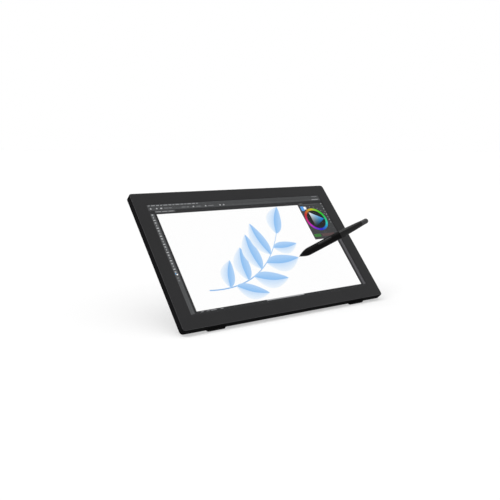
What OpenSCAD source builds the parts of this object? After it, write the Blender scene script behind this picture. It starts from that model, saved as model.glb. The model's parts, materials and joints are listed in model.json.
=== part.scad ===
// Pen display: a drawing tablet with its own screen, standing on its folding leg, and its pen.
// Millimetres. +X right and +Z up, the screen faces -Y. The origin is on the desk, under the
// middle of the object. Display pieces are drawn in the screen's own frame: x right, y up along
// the glass, z out of the glass, with z = 0 on the front face.

/* [Screen] */
// Width of the lit picture
active_w = 476.6; // [430:0.1:540]
// Height of the lit picture
active_h = 268.1; // [250:0.1:310]
// Black border left and right of the picture
bezel_side = 31; // [26:0.1:36]
// Black border above the picture
bezel_top = 30; // [25:0.1:36]
// Black border below the picture
bezel_bottom = 29.3; // [26:0.1:38]
// Corner radius of the front face
corner_r = 7; // [5:0.5:12]

/* [Screen layers] */
// Thickness of the etched cover glass
glass_t = 1.1; // [0.7:0.1:2]
// Thickness of the mounting tape under the glass
tape_t = 0.5; // [0.3:0.1:1]
// Thickness of the liquid crystal cell
cell_t = 1.4; // [1:0.1:2]
// Width of the cell's blank border
cell_border = 7; // [5:0.5:8]
// Thickness of the diffuser sheets
diffuser_t = 0.8; // [0.5:0.1:1.2]
// Thickness of the light guide plate
guide_t = 2; // [1.5:0.1:3]
// Thickness of the reflector sheet
reflector_t = 0.3; // [0.2:0.1:0.5]
// Thickness of the pen sensor board
sensor_t = 0.8; // [0.5:0.1:1.2]
// Thickness of the sensor's shield sheet
shield_t = 0.3; // [0.2:0.1:0.5]
// Thickness of the steel chassis plate
chassis_t = 1; // [0.8:0.1:1.5]

/* [Casing] */
// Depth of the casing along its edges
edge_depth = 16; // [15.5:0.5:20]
// Depth of the front frame, from the face to the parting line
frame_depth = 9; // [8.5:0.1:10]
// Wall thickness of the casing
wall = 2.2; // [1.6:0.1:2.6]
// Bevel round the front face
front_bevel = 1.2; // [0.6:0.1:1.5]
// Bevel round the back edge
rear_bevel = 1.5; // [0.8:0.1:2]
// Width of the frame's rim beside the glass
rim_w = 1.9; // [1.7:0.1:3]
// Gap round the glass
glass_gap = 0.15; // [0.1:0.05:0.3]

/* [Rear housing] */
// Width of the raised housing at its back
hump_w = 320; // [316:1:340]
// Top of the housing, above the middle of the face
hump_top = 44; // [40:1:60]
// Bottom of the housing, below the middle of the face
hump_bottom = 128; // [124:1:130]
// Depth of the housing, from the face to its back
hump_depth = 32; // [32:0.5:36]
// How far the housing's sides spread towards its foot
hump_draft = 5; // [3:0.5:8]
// Corner radius of the housing
hump_r = 12; // [8:1:16]
// Hole spacing of the square mounting pattern
vesa_pitch = 100; // [75:25:100]
// Height of the mounting pattern's centre, from the middle of the face
vesa_y = -22; // [-26:1:-20]

/* [Stand] */
// Lean of the screen from the desk, in degrees
tilt = 48.2; // [38:0.1:51]
// Leg length from the hinge to the pads
leg_len = 140; // [137:1:142]
// Leg width over both arms
leg_w = 194; // [190:1:196]
// Width of one arm
arm_w = 30; // [29:1:32]
// Height of the leg's cross bar
bar_h = 32; // [24:1:36]
// Thickness of the leg plate
leg_t = 5; // [4:0.5:5.5]
// Height of the hinge line, from the middle of the face
hinge_y = 12; // [10:1:14]
// Radius of the hinge pins
pin_r = 3; // [2:0.5:3.5]
// Width of the leg's hinge knuckle
knuckle_w = 16; // [12:1:17]
// Thickness of a bracket's ear
ear_t = 3; // [2:0.5:3]
// Thickness of a friction washer
washer_t = 1; // [0.6:0.1:1.2]

/* [Feet] */
// Length of a rubber foot where it meets the casing
foot_len = 45; // [30:1:60]
// Height of a rubber foot
foot_h = 4.2; // [3:0.1:6]
// Distance of each foot from the middle
foot_x = 190; // [160:1:215]
// Radius of a round pad on the back
pad_r = 6; // [4:0.5:8]

/* [Keys] */
// Length of a key
key_len = 11; // [8:0.5:13]
// Height of a key
key_h = 3.2; // [2.6:0.1:3.4]
// Spacing of the keys
key_pitch = 18; // [16:0.5:24]
// Height of the middle key, from the middle of the face
key_y = 84; // [70:1:100]
// Travel of a key
key_travel = 0.6; // [0.3:0.1:0.8]

/* [Pen] */
// Length of the pen
pen_len = 173.4; // [166:0.1:182]
// Radius of the grip
grip_r = 8.9; // [8:0.1:9.6]
// Distance from the nib to the end of the grip
grip_end = 105; // [100:1:112]
// Distance from the nib to the grip's full width
grip_shoulder = 26; // [22:1:32]
// Radius of the tail's round end
tail_r = 5.9; // [5:0.1:6.6]
// Radius of the nib
nib_r = 0.85; // [0.7:0.05:0.9]
// Travel of the nib
nib_travel = 0.8; // [0.4:0.1:1]
// Nib position right of the middle of the face
pen_x = 84.8; // [-150:0.1:100]
// Nib position above the middle of the face
pen_y = -34.5; // [-80:0.1:80]
// Lean of the pen from the glass, in degrees
pen_lean = 50; // [40:0.1:70]
// Heading of the pen across the glass, in degrees
pen_heading = -2; // [-30:1:30]
// Length of the rocker switch
rocker_len = 34; // [28:1:40]
// Width of the rocker switch
rocker_w = 5.6; // [4.5:0.1:6]

/* [Hidden] */
$fn = 48;
HULL_FN = 32;
EPS = 0.01;
BIG = 1000;
cut_over = 1;

// Face and layers, from the front to the back
face_w = active_w + 2*bezel_side;
face_h = active_h + bezel_top + bezel_bottom;
screen_y = (bezel_bottom - bezel_top)/2;
glass_w = face_w - 2*rim_w;
glass_h = face_h - 2*rim_w;
glass_r = corner_r - rim_w;
z_glass = -glass_t;
z_tape = z_glass - tape_t;
z_cell = z_tape - cell_t;
z_diffuser = z_cell - diffuser_t;
z_guide = z_diffuser - guide_t;
z_reflector = z_guide - reflector_t;
z_sensor = z_reflector - sensor_t;
z_shield = z_sensor - shield_t;
z_chassis = z_shield - chassis_t;
cell_w = active_w + 2*cell_border;
cell_h = active_h + 2*cell_border;
tape_overlap = 2;
tape_inset = 0.5;
ledge_w = 3;
panel_w = cell_w + 2*ledge_w;
panel_h = cell_h + 2*ledge_w;
sheet_w = cell_w - 2*ledge_w;
sheet_h = cell_h - 2*ledge_w;
led_h = 3;
panel_gap = 0.5;
rib_t = 1.6;
rib_w = panel_w + 2*panel_gap + 2*rib_t;
rib_h = panel_h + 2*panel_gap + 2*rib_t;
shelf_t = 2;
z_shelf = z_tape - shelf_t;

// Casing screws, in the channel between the rib and the wall
screw_r = 1.2;
screw_head_r = 2.5;
screw_head_h = 1.6;
screw_fit = 0.1;
head_fit = 0.3;
boss_r = 3.2;
boss_gap = 2.3;
boss_skirt = 0.8;
boss_inset = wall + boss_r + boss_gap;
screw_x = face_w/2 - boss_inset;
screw_y = face_h/2 - boss_inset;
seat_depth = 3;
z_screw_seat = -(edge_depth - seat_depth);
screw_bite = 3;
z_screw_tip = z_shield + screw_bite;
tip_gap = 0.2;
case_screw_at = concat(
    [for (side = [-1, 1], share = [-1, -1/3, 1/3, 1]) [share*screw_x, side*screw_y]],
    [for (side = [-1, 1]) [side*screw_x, 0]]);

// Chassis tabs, screwed to bosses beside the rib
tab_r = 3;
tab_root = 1;
tab_y = 60;
tab_low = 40;
tab_x = 120;
side_tab_at = [for (x = [-1, 1], y = [-1, 1]) [x*(rib_w/2 + tab_r), screen_y + y*tab_y - tab_low]];
end_tab_at = [for (x = [-1, 1], y = [-1, 1]) [x*tab_x, screen_y + y*(rib_h/2 + tab_r)]];
chassis_screw_at = concat(side_tab_at, end_tab_at);

// Leg groove and the land between its arms, in the housing's back
leg_sink = 1;
hinge_z = -(hump_depth - leg_sink - leg_t/2);
groove_gap = 0.8;
z_groove = hinge_z + leg_t/2 + groove_gap;
arm_x = leg_w/2 - arm_w/2;
groove_side = 4;
groove_w = leg_w + 2*groove_side;
land_w = leg_w - 2*arm_w - 2*groove_side;
bar_gap = 4;
land_bottom = hinge_y - (leg_len - bar_h) + bar_gap;
groove_above = 12;
groove_top = hinge_y + groove_above;
hump_h = hump_top + hump_bottom;
hump_y = (hump_top - hump_bottom)/2;

// Hinge
axial_gap = 0.05;
run_gap = 0.05;
knuckle_wall = 2.6;
knuckle_r = pin_r + knuckle_wall;
washer_rim = 2.2;
washer_r = pin_r + washer_rim;
ear_in = knuckle_w/2 + washer_t + 2*axial_gap;
ear_out = ear_in + ear_t;
ear_wall = 3;
ear_r = pin_r + ear_wall;
neck_gap = 3;
neck_len = ear_r + neck_gap;
pin_head_rim = 2;
pin_head_r = pin_r + pin_head_rim;
pin_head_t = 1.6;
nut_t = 2.4;
bracket_t = 2;
bracket_len = 34;
well_gap = 1.5;
bracket_foot = 8;
hinge_screw_x = ear_out + bracket_foot/2;
bracket_end = 5;
hinge_screw_y = bracket_len/2 - bracket_end;
hinge_screw_at = [for (side = [-1, 1], x = [-1, 1], y = [-1, 1])
    [side*arm_x + x*hinge_screw_x, hinge_y + y*hinge_screw_y]];

// Leg pads
pad_reach = 6;
pad_proud = 0.4;
pad_half_t = leg_t/2 + pad_proud;
pad_w = 50;
pad_inset = 10;
pad_x = leg_w/2 - pad_inset - pad_w/2;
pad_fit = 0.02;
tongue_t = 2;
tongue_end = 1.5;
pad_flat = 0.25;
leg_corner_r = 9;

// Feet and desk plane. A height in the screen's frame is y*sin(tilt) + z*cos(tilt)
function height(y, z) = y*sin(tilt) + z*cos(tilt);
function depth(y, z) = y*cos(tilt) - z*sin(tilt);
foot_set_back = 0.4;
foot_front = frame_depth + foot_set_back;
foot_d = edge_depth - rear_bevel - foot_front;
foot_taper = 4;
foot_flat = 1;
peg_r = 1.5;
peg_inset = 8;
peg_x = foot_len/2 - peg_inset;
peg_over = 0.6;
foot_z = -(foot_front + foot_d/2);
desk_height = height(-face_h/2 - foot_h, -(foot_front + foot_d)) + foot_flat;
hinge_height = height(hinge_y, hinge_z) - desk_height;
leg_slope = asin((hinge_height - pad_half_t + pad_flat)/leg_len);
leg_open = 180 - tilt - leg_slope;

// Pen
function pen_dir() = [cos(pen_lean)*cos(pen_heading), cos(pen_lean)*sin(pen_heading), sin(pen_lean)];
nib_gap = 0.05;
pen_z = nib_gap + nib_r*(1 - sin(pen_lean));
nib_fit = 0.1;
cone_start = 2.4;
cone_end = 10;
cone_tip_r = 1.8;
spigot_len = 7;
core_r = 4.7;
core_fit = 0.05;
spigot_room = 1;
bore_start = cone_end + spigot_len + spigot_room;
coil_room = 2;
coil_start = bore_start + coil_room;
coil_len = 14;
coil_gap = 0.2;
sensor_len = 4;
sensor_start = coil_start + coil_len + coil_gap;
nib_stop = 0.4;
nib_end = sensor_start - nib_travel - nib_stop;
core_start = sensor_start + sensor_len;
core_len = 80;
core_end = 4;
pen_board_w = 7.6;
pen_wall = 1.4;
barrel_step = 0.3;
barrel_start_r = grip_r - barrel_step;
cap_taper = 0.2;
barrel_end_r = tail_r + cap_taper;
cap_len = 9;
barrel_end = pen_len - tail_r - cap_len;
barrel_swell = 1.5;
barrel_steps = 6;
function barrel_r(z) = barrel_end_r
    + (barrel_start_r - barrel_end_r)*(1 - pow((z - grip_end)/(barrel_end - grip_end), barrel_swell));
spigot_wall = 1.2;
cap_spigot = 6;
board_x = -1.2;
board_t = 1;
rocker_z = 68;
rocker_gap = 0.3;
rocker_rise = 0.7;
rocker_sink = 1.6;
rocker_x = -(grip_r - rocker_sink);
rocker_clear = 0.2;
rocker_notch_r = 1;
rocker_notch_out = 0.4;
rocker_pin_r = 0.8;
rocker_pin_out = 0.8;
ogive_steps = 10;
cone_steps = 4;
function ogive(z) =
    cone_tip_r + (grip_r - cone_tip_r)*sin(90*(z - cone_start)/(grip_shoulder - cone_start));
function ogive_points(low, high, steps) =
    [for (i = [0 : steps]) let (z = low + i*(high - low)/steps) [ogive(z), z]];

// Boards and sockets behind the chassis
standoff_r = 2.8;
board_z = -18;
pcb_t = 1.6;
board_side = 5;
board_in = groove_w/2 + board_side;
port_sink = 3;
port_x = hump_w/2 - port_sink;
port_wall_gap = 0.8;
board_out = port_x - wall - port_wall_gap;
board_low = -114;
board_high = 40;
board_screw_r = 1.1;
board_tip_gap = 0.6;
z_board_screw_tip = z_chassis - board_tip_gap;
board_screw_inset = 4;
socket_room = 8;
board_screw_x = [board_in + board_screw_inset, board_out - board_screw_inset - socket_room];
board_screw_y = [board_low + board_screw_inset, board_high - board_screw_inset];
board_screw_at = [for (side = [-1, 1], y = board_screw_y, x = board_screw_x) [side*x, y]];
// Chips, midway across the free width of their board: height on the screen, and size
processor_y = -56;
processor_size = [26, 30, 3];
scaler_y = -12;
scaler_size = [14, 14, 1.4];
memory_y = 14;
memory_size = [18, 8, 1.2];
choke_y = -92;
choke_size = [10, 10, 6];
transformer_y = -70;
transformer_size = [16, 16, 8];
capacitor_y = -30;
capacitor_size = [10, 10, 8];
connector_y = 6;
connector_size = [20, 6, 5];
main_chips = [
    [processor_y, processor_size],
    [scaler_y, scaler_size],
    [memory_y, memory_size],
    [choke_y, choke_size]];
driver_chips = [
    [transformer_y, transformer_size],
    [capacitor_y, capacitor_size],
    [connector_y, connector_size]];
source_w = 240;
source_h = 12;
source_t = 1;
source_inset = 5;
source_low = screen_y - rib_h/2 + source_inset;
ribbon_t = 0.3;
display_ribbon_w = 14;
display_ribbon_in = 8;
display_ribbon_x = board_in + display_ribbon_in;
sensor_ribbon_w = 16;
sensor_ribbon_in = 14;
sensor_ribbon_x = board_in + sensor_ribbon_in;
button_ribbon_w = 6;
button_ribbon_x = (board_screw_x[0] + board_screw_x[1] - button_ribbon_w)/2;
ribbon_inset = 6;
ribbon_end = 2;
slot_gap = 1;
hdmi_y = -40;
usb_y = [-62, -78];
dc_y = -98;
hdmi_size = [15, 5.8];
hdmi_rim = 0.5;
hdmi_tongue = [11, 1.4];
usb_size = [9, 3.2];
usb_rim = 0.32;
usb_tongue = [6.6, 0.7];
dc_size = [9, 9.6];
dc_bore_r = 2.75;
dc_pin_r = 1;
socket_depth = 12;
socket_back = 1;
socket_fit = 0.2;
tongue_short = 2;
port_top = -24;
port_bottom = -110;

// Mounting plate, inserts and vents
post_r = 4;
post_x = 39;
post_inset = 9;
insert_r = 3.5;
insert_bore_r = 1.65;
insert_len = 8;
plate_t = 1.6;
z_plate = -hump_depth + wall;
plate_gap = 0.8;
plate_w = land_w - 2*wall - 2*plate_gap;
plate_end = 10;
plate_h = vesa_pitch + 2*plate_end;
plate_ear = 0.8;
plate_ear_gap = 0.3;
plate_ear_r = insert_r + run_gap + plate_ear;
insert_boss_r = plate_ear_r + plate_ear_gap + wall;
vent_w = 2.4;
vent_len = 22;
vent_pitch = 5;
vents = 9;
vent_x = 128;
vent_y = 24;
rear_pad_inset = 32;
rear_pad_sink = 0.6;
rear_pad_proud = 1.2;
rear_pad_at = [for (x = [-1, 1], y = [-1, 1]) [x*(face_w/2 - rear_pad_inset), y*(face_h/2 - rear_pad_inset)]];
vesa_at = [for (x = [-1, 1], y = [-1, 1]) [x*vesa_pitch/2, vesa_y + y*vesa_pitch/2]];

// Keys
shelf_gap = 0.8;
key_z = z_shelf - shelf_gap - key_h/2;
key_fit = 0.15;
flange_t = 1.3;
flange_grow = 0.7;
flange_gap = 0.2;
flange_x = face_w/2 - wall - flange_gap - flange_t;
plunger_r = 1.2;
key_board_x = rib_w/2;
key_board_t = 1.6;
key_board_end = 10;
key_board_low = key_y - key_pitch - key_board_end;
key_board_gap = 0.2;
switch_t = 3.4;
switch_w = 4;
switch_h = 3.6;
switch_stem = 0.8;
switch_x = key_board_x + key_board_t + switch_t + switch_stem;
switch_play = 0.1;
switch_gap = key_travel + switch_play;
light_r = 0.9;
light_fit = 0.05;
light_gap = 4;
light_back = 2;

// The object's middle lies halfway between the pen's tail and the top of the casing's back
pen_tail = [pen_x, pen_y, pen_z] + (pen_len - tail_r)*pen_dir();
front_reach = depth(pen_tail[1], pen_tail[2]) - tail_r;
back_reach = max(depth(face_h/2, -(edge_depth - rear_bevel)), depth(face_h/2 - rear_bevel, -edge_depth));
shift_y = -(front_reach + back_reach)/2;

// Frames: the screen, the open leg and the pen
module at_display() translate([0, shift_y, -desk_height]) rotate([tilt, 0, 0]) children();
module at_leg() at_display() translate([0, hinge_y, hinge_z]) rotate([leg_open, 0, 0]) children();
module at_pen() at_display()
    translate([pen_x, pen_y, pen_z]) rotate([0, 90 - pen_lean, pen_heading]) children();
module above_desk() difference() {
    children();
    translate([-BIG, -BIG, -2*BIG]) cube(2*BIG);
}

// Shared shapes
module face_plan(inset)
    rounded_rect(face_w - 2*inset, face_h - 2*inset, corner_r - inset, $fn = HULL_FN);
module rounded_rect(w, h, r) {
    square([w - 2*r, h], center = true);
    square([w, h - 2*r], center = true);
    for (x = [-1, 1], y = [-1, 1]) translate([x*(w/2 - r), y*(h/2 - r)]) circle(r);
}
module slab(z_back, z_front) translate([0, 0, z_back]) linear_extrude(z_front - z_back) children();
module screen_slab(w, h, z_back, z_front)
    slab(z_back, z_front) translate([0, screen_y]) square([w, h], center = true);
module box(low, high) translate(low) cube(high - low);
module along_x(x, r, len) translate([x, 0, 0]) rotate([0, 90, 0]) cylinder(r = r, h = len);
module hole(at, r, z_back, z_front) translate([at[0], at[1], z_back]) cylinder(r = r, h = z_front - z_back);
module screw(at, seat, tip, r, head_r, head_h) translate([at[0], at[1], 0]) difference() {
    union() {
        translate([0, 0, seat - head_h]) cylinder(r = head_r, h = head_h);
        translate([0, 0, seat - EPS]) cylinder(r = r, h = tip - seat + EPS);
    }
    for (turn = [0, 90]) rotate(turn)
        translate([0, 0, seat - head_h]) cube([head_r*1.3, head_r*0.3, head_h], center = true);
}

// Screen layers
module cover_glass() at_display() color("black")
    slab(z_glass, 0) rounded_rect(glass_w, glass_h, glass_r);

module glass_tape() at_display() color("dimgray") slab(z_tape, z_glass) difference() {
    rounded_rect(glass_w - 2*tape_inset, glass_h - 2*tape_inset, glass_r - tape_inset);
    translate([0, screen_y]) square([active_w + 2*tape_overlap, active_h + 2*tape_overlap], center = true);
}

module lcd_cell() at_display() color("white") screen_slab(cell_w, cell_h, z_cell, z_tape);

module panel_frame() at_display() color("ivory") difference() {
    screen_slab(panel_w, panel_h, z_reflector, z_tape);
    screen_slab(cell_w, cell_h, z_cell, z_tape + EPS);
    screen_slab(sheet_w, sheet_h, z_reflector - EPS, z_cell + EPS);
}

module diffuser_sheet() at_display() color("white") screen_slab(sheet_w, sheet_h, z_diffuser, z_cell);

module light_guide() at_display() color("aliceblue")
    slab(z_guide, z_diffuser)
        translate([0, screen_y + led_h/2]) square([sheet_w, sheet_h - led_h], center = true);

module led_strip() at_display() color("gold")
    slab(z_guide, z_diffuser)
        translate([0, screen_y - sheet_h/2 + led_h/2]) square([sheet_w, led_h], center = true);

module reflector_sheet() at_display() color("silver") screen_slab(sheet_w, sheet_h, z_reflector, z_guide);

module sensor_board() at_display() color("darkgreen") screen_slab(panel_w, panel_h, z_sensor, z_reflector);

module ribbon_slot() box([sensor_ribbon_x - slot_gap, -slot_gap, z_chassis - cut_over],
    [sensor_ribbon_x + sensor_ribbon_w + slot_gap, ribbon_t + slot_gap, z_sensor + EPS]);

module shield_sheet() at_display() color("gray") difference() {
    screen_slab(panel_w, panel_h, z_shield, z_sensor);
    ribbon_slot();
}

// Chassis
module chassis_tabs() {
    reach = tab_r + tab_root;
    for (at = chassis_screw_at) translate(at) circle(tab_r);
    for (at = side_tab_at)
        translate([at[0] - sign(at[0])*reach/2, at[1]]) square([reach, 2*tab_r], center = true);
    for (at = end_tab_at)
        translate([at[0], at[1] - sign(at[1])*reach/2]) square([2*tab_r, reach], center = true);
}
module chassis_plate() at_display() color("lightsteelblue") difference() {
    union() {
        screen_slab(rib_w, rib_h, z_chassis, z_shield);
        slab(z_chassis, z_shield) chassis_tabs();
        for (at = board_screw_at) hole(at, standoff_r, board_z, z_chassis + chassis_t/2);
    }
    ribbon_slot();
    for (at = chassis_screw_at) hole(at, screw_r + screw_fit, z_chassis - cut_over, z_shield + cut_over);
    for (at = board_screw_at)
        hole(at, board_screw_r + screw_fit, board_z - cut_over, z_board_screw_tip + screw_fit);
    for (at = hinge_screw_at) hole(at, screw_r + screw_fit, z_chassis - cut_over, z_shield + cut_over);
}

// Casing
module key_place(row) translate([0, key_y + row*key_pitch, key_z]) children();
module key_slot(row) key_place(row)
    translate([face_w/2 - wall - cut_over, -key_len/2, -key_h/2])
        cube([wall + 2*cut_over, key_len, key_h]);

module front_frame() at_display() color("#1f1f20") difference() {
    union() {
        difference() {
            hull() {
                slab(-frame_depth, -front_bevel) face_plan(0);
                slab(-EPS, 0) face_plan(front_bevel);
            }
            slab(-frame_depth - cut_over, z_shield)
                rounded_rect(face_w - 2*wall, face_h - 2*wall, corner_r - wall);
            slab(z_shield - EPS, z_shelf) difference() {
                rounded_rect(face_w - 2*wall, face_h - 2*wall, corner_r - wall);
                translate([0, screen_y]) square([rib_w, rib_h], center = true);
            }
        }
        for (at = case_screw_at) hole(at, boss_r, z_shield, z_shelf + EPS);
        slab(z_shield, z_shelf + EPS) chassis_tabs();
    }
    slab(z_tape, cut_over)
        rounded_rect(glass_w + 2*glass_gap, glass_h + 2*glass_gap, glass_r + glass_gap);
    screen_slab(panel_w + 2*panel_gap, panel_h + 2*panel_gap, z_shield - cut_over, z_tape + EPS);
    for (at = case_screw_at) hole(at, screw_r + screw_fit, z_shield - cut_over, z_screw_tip + tip_gap);
    for (at = chassis_screw_at) hole(at, screw_r + screw_fit, z_shield - cut_over, z_screw_tip + tip_gap);
    for (row = [-1, 0, 1]) key_slot(row);
    power_light_bore();
}

module hump_plan(grow) translate([0, hump_y])
    rounded_rect(hump_w + 2*grow, hump_h + 2*grow, hump_r + grow, $fn = HULL_FN);
module hump(grow, z_back, z_front) hull() {
    slab(z_back, z_back + EPS) hump_plan(grow);
    slab(z_front - EPS, z_front) hump_plan(grow + hump_draft);
}

module groove_plan(grow) difference() {
    translate([-groove_w/2 - grow, -face_h/2]) square([groove_w + 2*grow, groove_top + grow + face_h/2]);
    translate([-land_w/2 + grow, land_bottom + grow]) square([land_w - 2*grow, face_h]);
    for (at = vesa_at) translate(at) circle(insert_boss_r - grow);
}

module port_cut(y, size)
    translate([board_out, y - size[0]/2 - socket_fit, board_z - pcb_t - size[1] - socket_fit])
        cube([hump_w, size[0] + 2*socket_fit, size[1] + 2*socket_fit]);

module rear_cover() at_display() color("#242425") difference() {
    union() {
        difference() {
            union() {
                hull() {
                    slab(-(edge_depth - rear_bevel), -frame_depth) face_plan(0);
                    slab(-edge_depth, -edge_depth + EPS) face_plan(rear_bevel);
                }
                hump(0, -hump_depth, -edge_depth + wall/2);
            }
            slab(-(edge_depth - wall), -frame_depth + cut_over)
                rounded_rect(face_w - 2*wall, face_h - 2*wall, corner_r - wall);
            hump(-wall, -(hump_depth - wall), -edge_depth + wall + EPS);
        }
        intersection() {
            hump(-EPS, -hump_depth, -edge_depth);
            union() {
                slab(-hump_depth, z_groove + wall) groove_plan(wall);
                box([port_x - wall, port_bottom - wall, -hump_depth], [hump_w, port_top + wall, -edge_depth]);
            }
        }
        for (at = case_screw_at) hole(at, boss_r + boss_skirt, -(edge_depth - wall/2), z_shield);
    }
    slab(-hump_depth - cut_over, z_groove) groove_plan(0);
    for (side = [-1, 1]) translate([side*arm_x, hinge_y, 0])
        box([-ear_out - pin_head_t - nut_t, -ear_r - well_gap, -hump_depth],
            [ear_out + pin_head_t + nut_t, ear_r + well_gap, z_groove + wall + cut_over]);
    box([port_x, port_bottom, -hump_depth - cut_over], [hump_w, port_top, -edge_depth]);
    port_cut(hdmi_y, hdmi_size);
    for (y = usb_y) port_cut(y, usb_size);
    port_cut(dc_y, dc_size);
    for (at = case_screw_at) {
        hole(at, screw_r + screw_fit, -edge_depth, z_shield + cut_over);
        hole(at, screw_head_r + head_fit, -edge_depth - cut_over, z_screw_seat);
    }
    for (at = vesa_at) hole(at, insert_r + screw_fit, -hump_depth - cut_over, -hump_depth + wall + cut_over);
    for (at = rear_pad_at) hole(at, pad_r + screw_fit, -edge_depth - cut_over, -edge_depth + rear_pad_sink);
    for (side = [-1, 1], peg = [-1, 1]) translate([side*foot_x + peg*peg_x, -face_h/2 - cut_over, foot_z])
        rotate([-90, 0, 0]) cylinder(r = peg_r + screw_fit, h = wall + 2*cut_over);
    for (side = [-1, 1], slot = [0 : vents - 1])
        translate([side*vent_x + (slot - (vents - 1)/2)*vent_pitch, vent_y, -hump_depth])
            cube([vent_w, vent_len, 3*wall], center = true);
}

// Boards
module board_plate(side) difference() {
    box([side > 0 ? board_in : -board_out, board_low, board_z - pcb_t],
        [side > 0 ? board_out : -board_in, board_high, board_z]);
    for (at = board_screw_at)
        hole(at, board_screw_r + screw_fit, board_z - pcb_t - cut_over, board_z + cut_over);
}
module chip(x, y, size) translate([x - size[0]/2, y - size[1]/2, board_z - pcb_t - size[2]])
    cube([size[0], size[1], size[2] + EPS]);

module main_board() at_display() color("darkgreen") union() {
    board_plate(1);
    for (c = main_chips) chip((board_in + port_x - socket_depth)/2, c[0], c[1]);
}

module driver_board() at_display() color("darkgreen") union() {
    board_plate(-1);
    for (c = driver_chips) chip(-(board_in + board_out)/2, c[0], c[1]);
}

module source_board() at_display() color("darkgreen")
    box([-source_w/2, source_low, z_chassis - source_t], [source_w/2, source_low + source_h, z_chassis]);

module button_board() at_display() color("darkgreen") union() {
    translate([key_board_x, key_board_low, z_chassis - key_board_gap])
        cube([key_board_t, 2*(key_pitch + key_board_end), z_shelf - z_chassis]);
    for (row = [-1, 0, 1]) key_place(row) {
        translate([key_board_x + key_board_t - EPS, -switch_w/2, -switch_h/2])
            cube([switch_t, switch_w, switch_h]);
        along_x(switch_x - switch_stem - EPS, plunger_r, switch_stem + EPS);
    }
}

// Ribbon cables held between the boards
module display_ribbon() at_display() color("orange") {
    z_run = z_chassis - source_t;
    run_low = source_low + ribbon_end;
    run_top = board_low + ribbon_inset;
    x_out = display_ribbon_x + display_ribbon_w;
    union() {
        box([source_w/2 - display_ribbon_w, run_low, z_run - ribbon_t], [x_out, run_low + source_h/2, z_run]);
        box([display_ribbon_x, run_low, z_run - ribbon_t], [x_out, run_top, z_run]);
        box([display_ribbon_x, run_top - ribbon_t, board_z], [x_out, run_top, z_run]);
    }
}
module sensor_ribbon() at_display() color("orange")
    box([sensor_ribbon_x, 0, board_z], [sensor_ribbon_x + sensor_ribbon_w, ribbon_t, z_sensor]);
module button_ribbon() at_display() color("orange") {
    z_run = z_chassis - key_board_gap;
    run_low = board_high - ribbon_inset;
    run_top = key_board_low + key_board_end;
    run_end = run_top + button_ribbon_w;
    x_out = button_ribbon_x + button_ribbon_w;
    union() {
        box([button_ribbon_x, run_top, z_run - ribbon_t], [key_board_x + key_board_t, run_end, z_run]);
        box([button_ribbon_x, run_low, z_run - ribbon_t], [x_out, run_end, z_run]);
        box([button_ribbon_x, run_low, board_z], [x_out, run_low + ribbon_t, z_run]);
    }
}

// Sockets on the main board's edge
module socket_block(y, size) translate([port_x - socket_depth, y - size[0]/2, board_z - pcb_t - size[1]])
    cube([socket_depth, size[0], size[1]]);
module socket_mouth(y, size, rim)
    translate([port_x - socket_depth + socket_back, y - size[0]/2 + rim, board_z - pcb_t - size[1] + rim])
        cube([socket_depth, size[0] - 2*rim, size[1] - 2*rim]);
module socket_tongue(y, size, w, t)
    translate([port_x - socket_depth + socket_back - EPS, y - w/2, board_z - pcb_t - size[1]/2 - t/2])
        cube([socket_depth - socket_back - tongue_short, w, t]);
module flat_socket(y, size, rim, tongue) union() {
    difference() {
        socket_block(y, size);
        socket_mouth(y, size, rim);
    }
    socket_tongue(y, size, tongue[0], tongue[1]);
}

module hdmi_socket() at_display() color("silver") flat_socket(hdmi_y, hdmi_size, hdmi_rim, hdmi_tongue);
module usb_sockets() at_display() color("silver")
    for (y = usb_y) flat_socket(y, usb_size, usb_rim, usb_tongue);

module dc_jack() at_display() color("#303030") union() {
    bore_x = port_x - socket_depth + 2*socket_back;
    difference() {
        socket_block(dc_y, dc_size);
        translate([0, dc_y, board_z - pcb_t - dc_size[1]/2]) along_x(bore_x, dc_bore_r, socket_depth);
    }
    translate([0, dc_y, board_z - pcb_t - dc_size[1]/2])
        along_x(bore_x - EPS, dc_pin_r, port_x - bore_x - tongue_short/2);
}

// Keys in the right-hand edge
module key(row) key_place(row) union() {
    translate([flange_x + flange_t - EPS, -key_len/2 + key_fit, -key_h/2 + key_fit])
        cube([face_w/2 - flange_x - flange_t + EPS, key_len - 2*key_fit, key_h - 2*key_fit]);
    translate([flange_x, -key_len/2 - flange_grow, -key_h/2 - flange_grow])
        cube([flange_t, key_len + 2*flange_grow, key_h + 2*flange_grow]);
    along_x(switch_x + switch_gap, plunger_r, flange_x - switch_x - switch_gap + EPS);
}
module power_button() at_display() color("#2a2a2b") key(1);
module brightness_up_button() at_display() color("#2a2a2b") key(0);
module brightness_down_button() at_display() color("#2a2a2b") key(-1);

// Light pipe above the power key
module power_light_place() translate([0, key_y + key_pitch + key_len/2 + light_gap, key_z]) children();
module power_light_bore() power_light_place()
    along_x(face_w/2 - wall - cut_over, light_r + light_fit, wall + 2*cut_over);
module power_light() at_display() color("white")
    power_light_place() along_x(face_w/2 - wall - light_back, light_r, wall + light_back);

// Rubber feet and pads
module foot(side) above_desk() at_display() union() {
    translate([side*foot_x, -face_h/2, -(foot_front + foot_d)]) linear_extrude(foot_d)
        polygon([
            [-foot_len/2, 0],
            [foot_len/2, 0],
            [foot_len/2 - foot_taper, -foot_h],
            [-foot_len/2 + foot_taper, -foot_h]]);
    for (peg = [-1, 1]) translate([side*foot_x + peg*peg_x, -face_h/2 - EPS, foot_z])
        rotate([-90, 0, 0]) cylinder(r = peg_r, h = wall + peg_over);
}
module foot_left() color("#151515") foot(-1);
module foot_right() color("#151515") foot(1);

module rear_pads() at_display() color("#151515")
    for (at = rear_pad_at) hole(at, pad_r, -edge_depth - rear_pad_proud, -edge_depth + rear_pad_sink);

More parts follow.
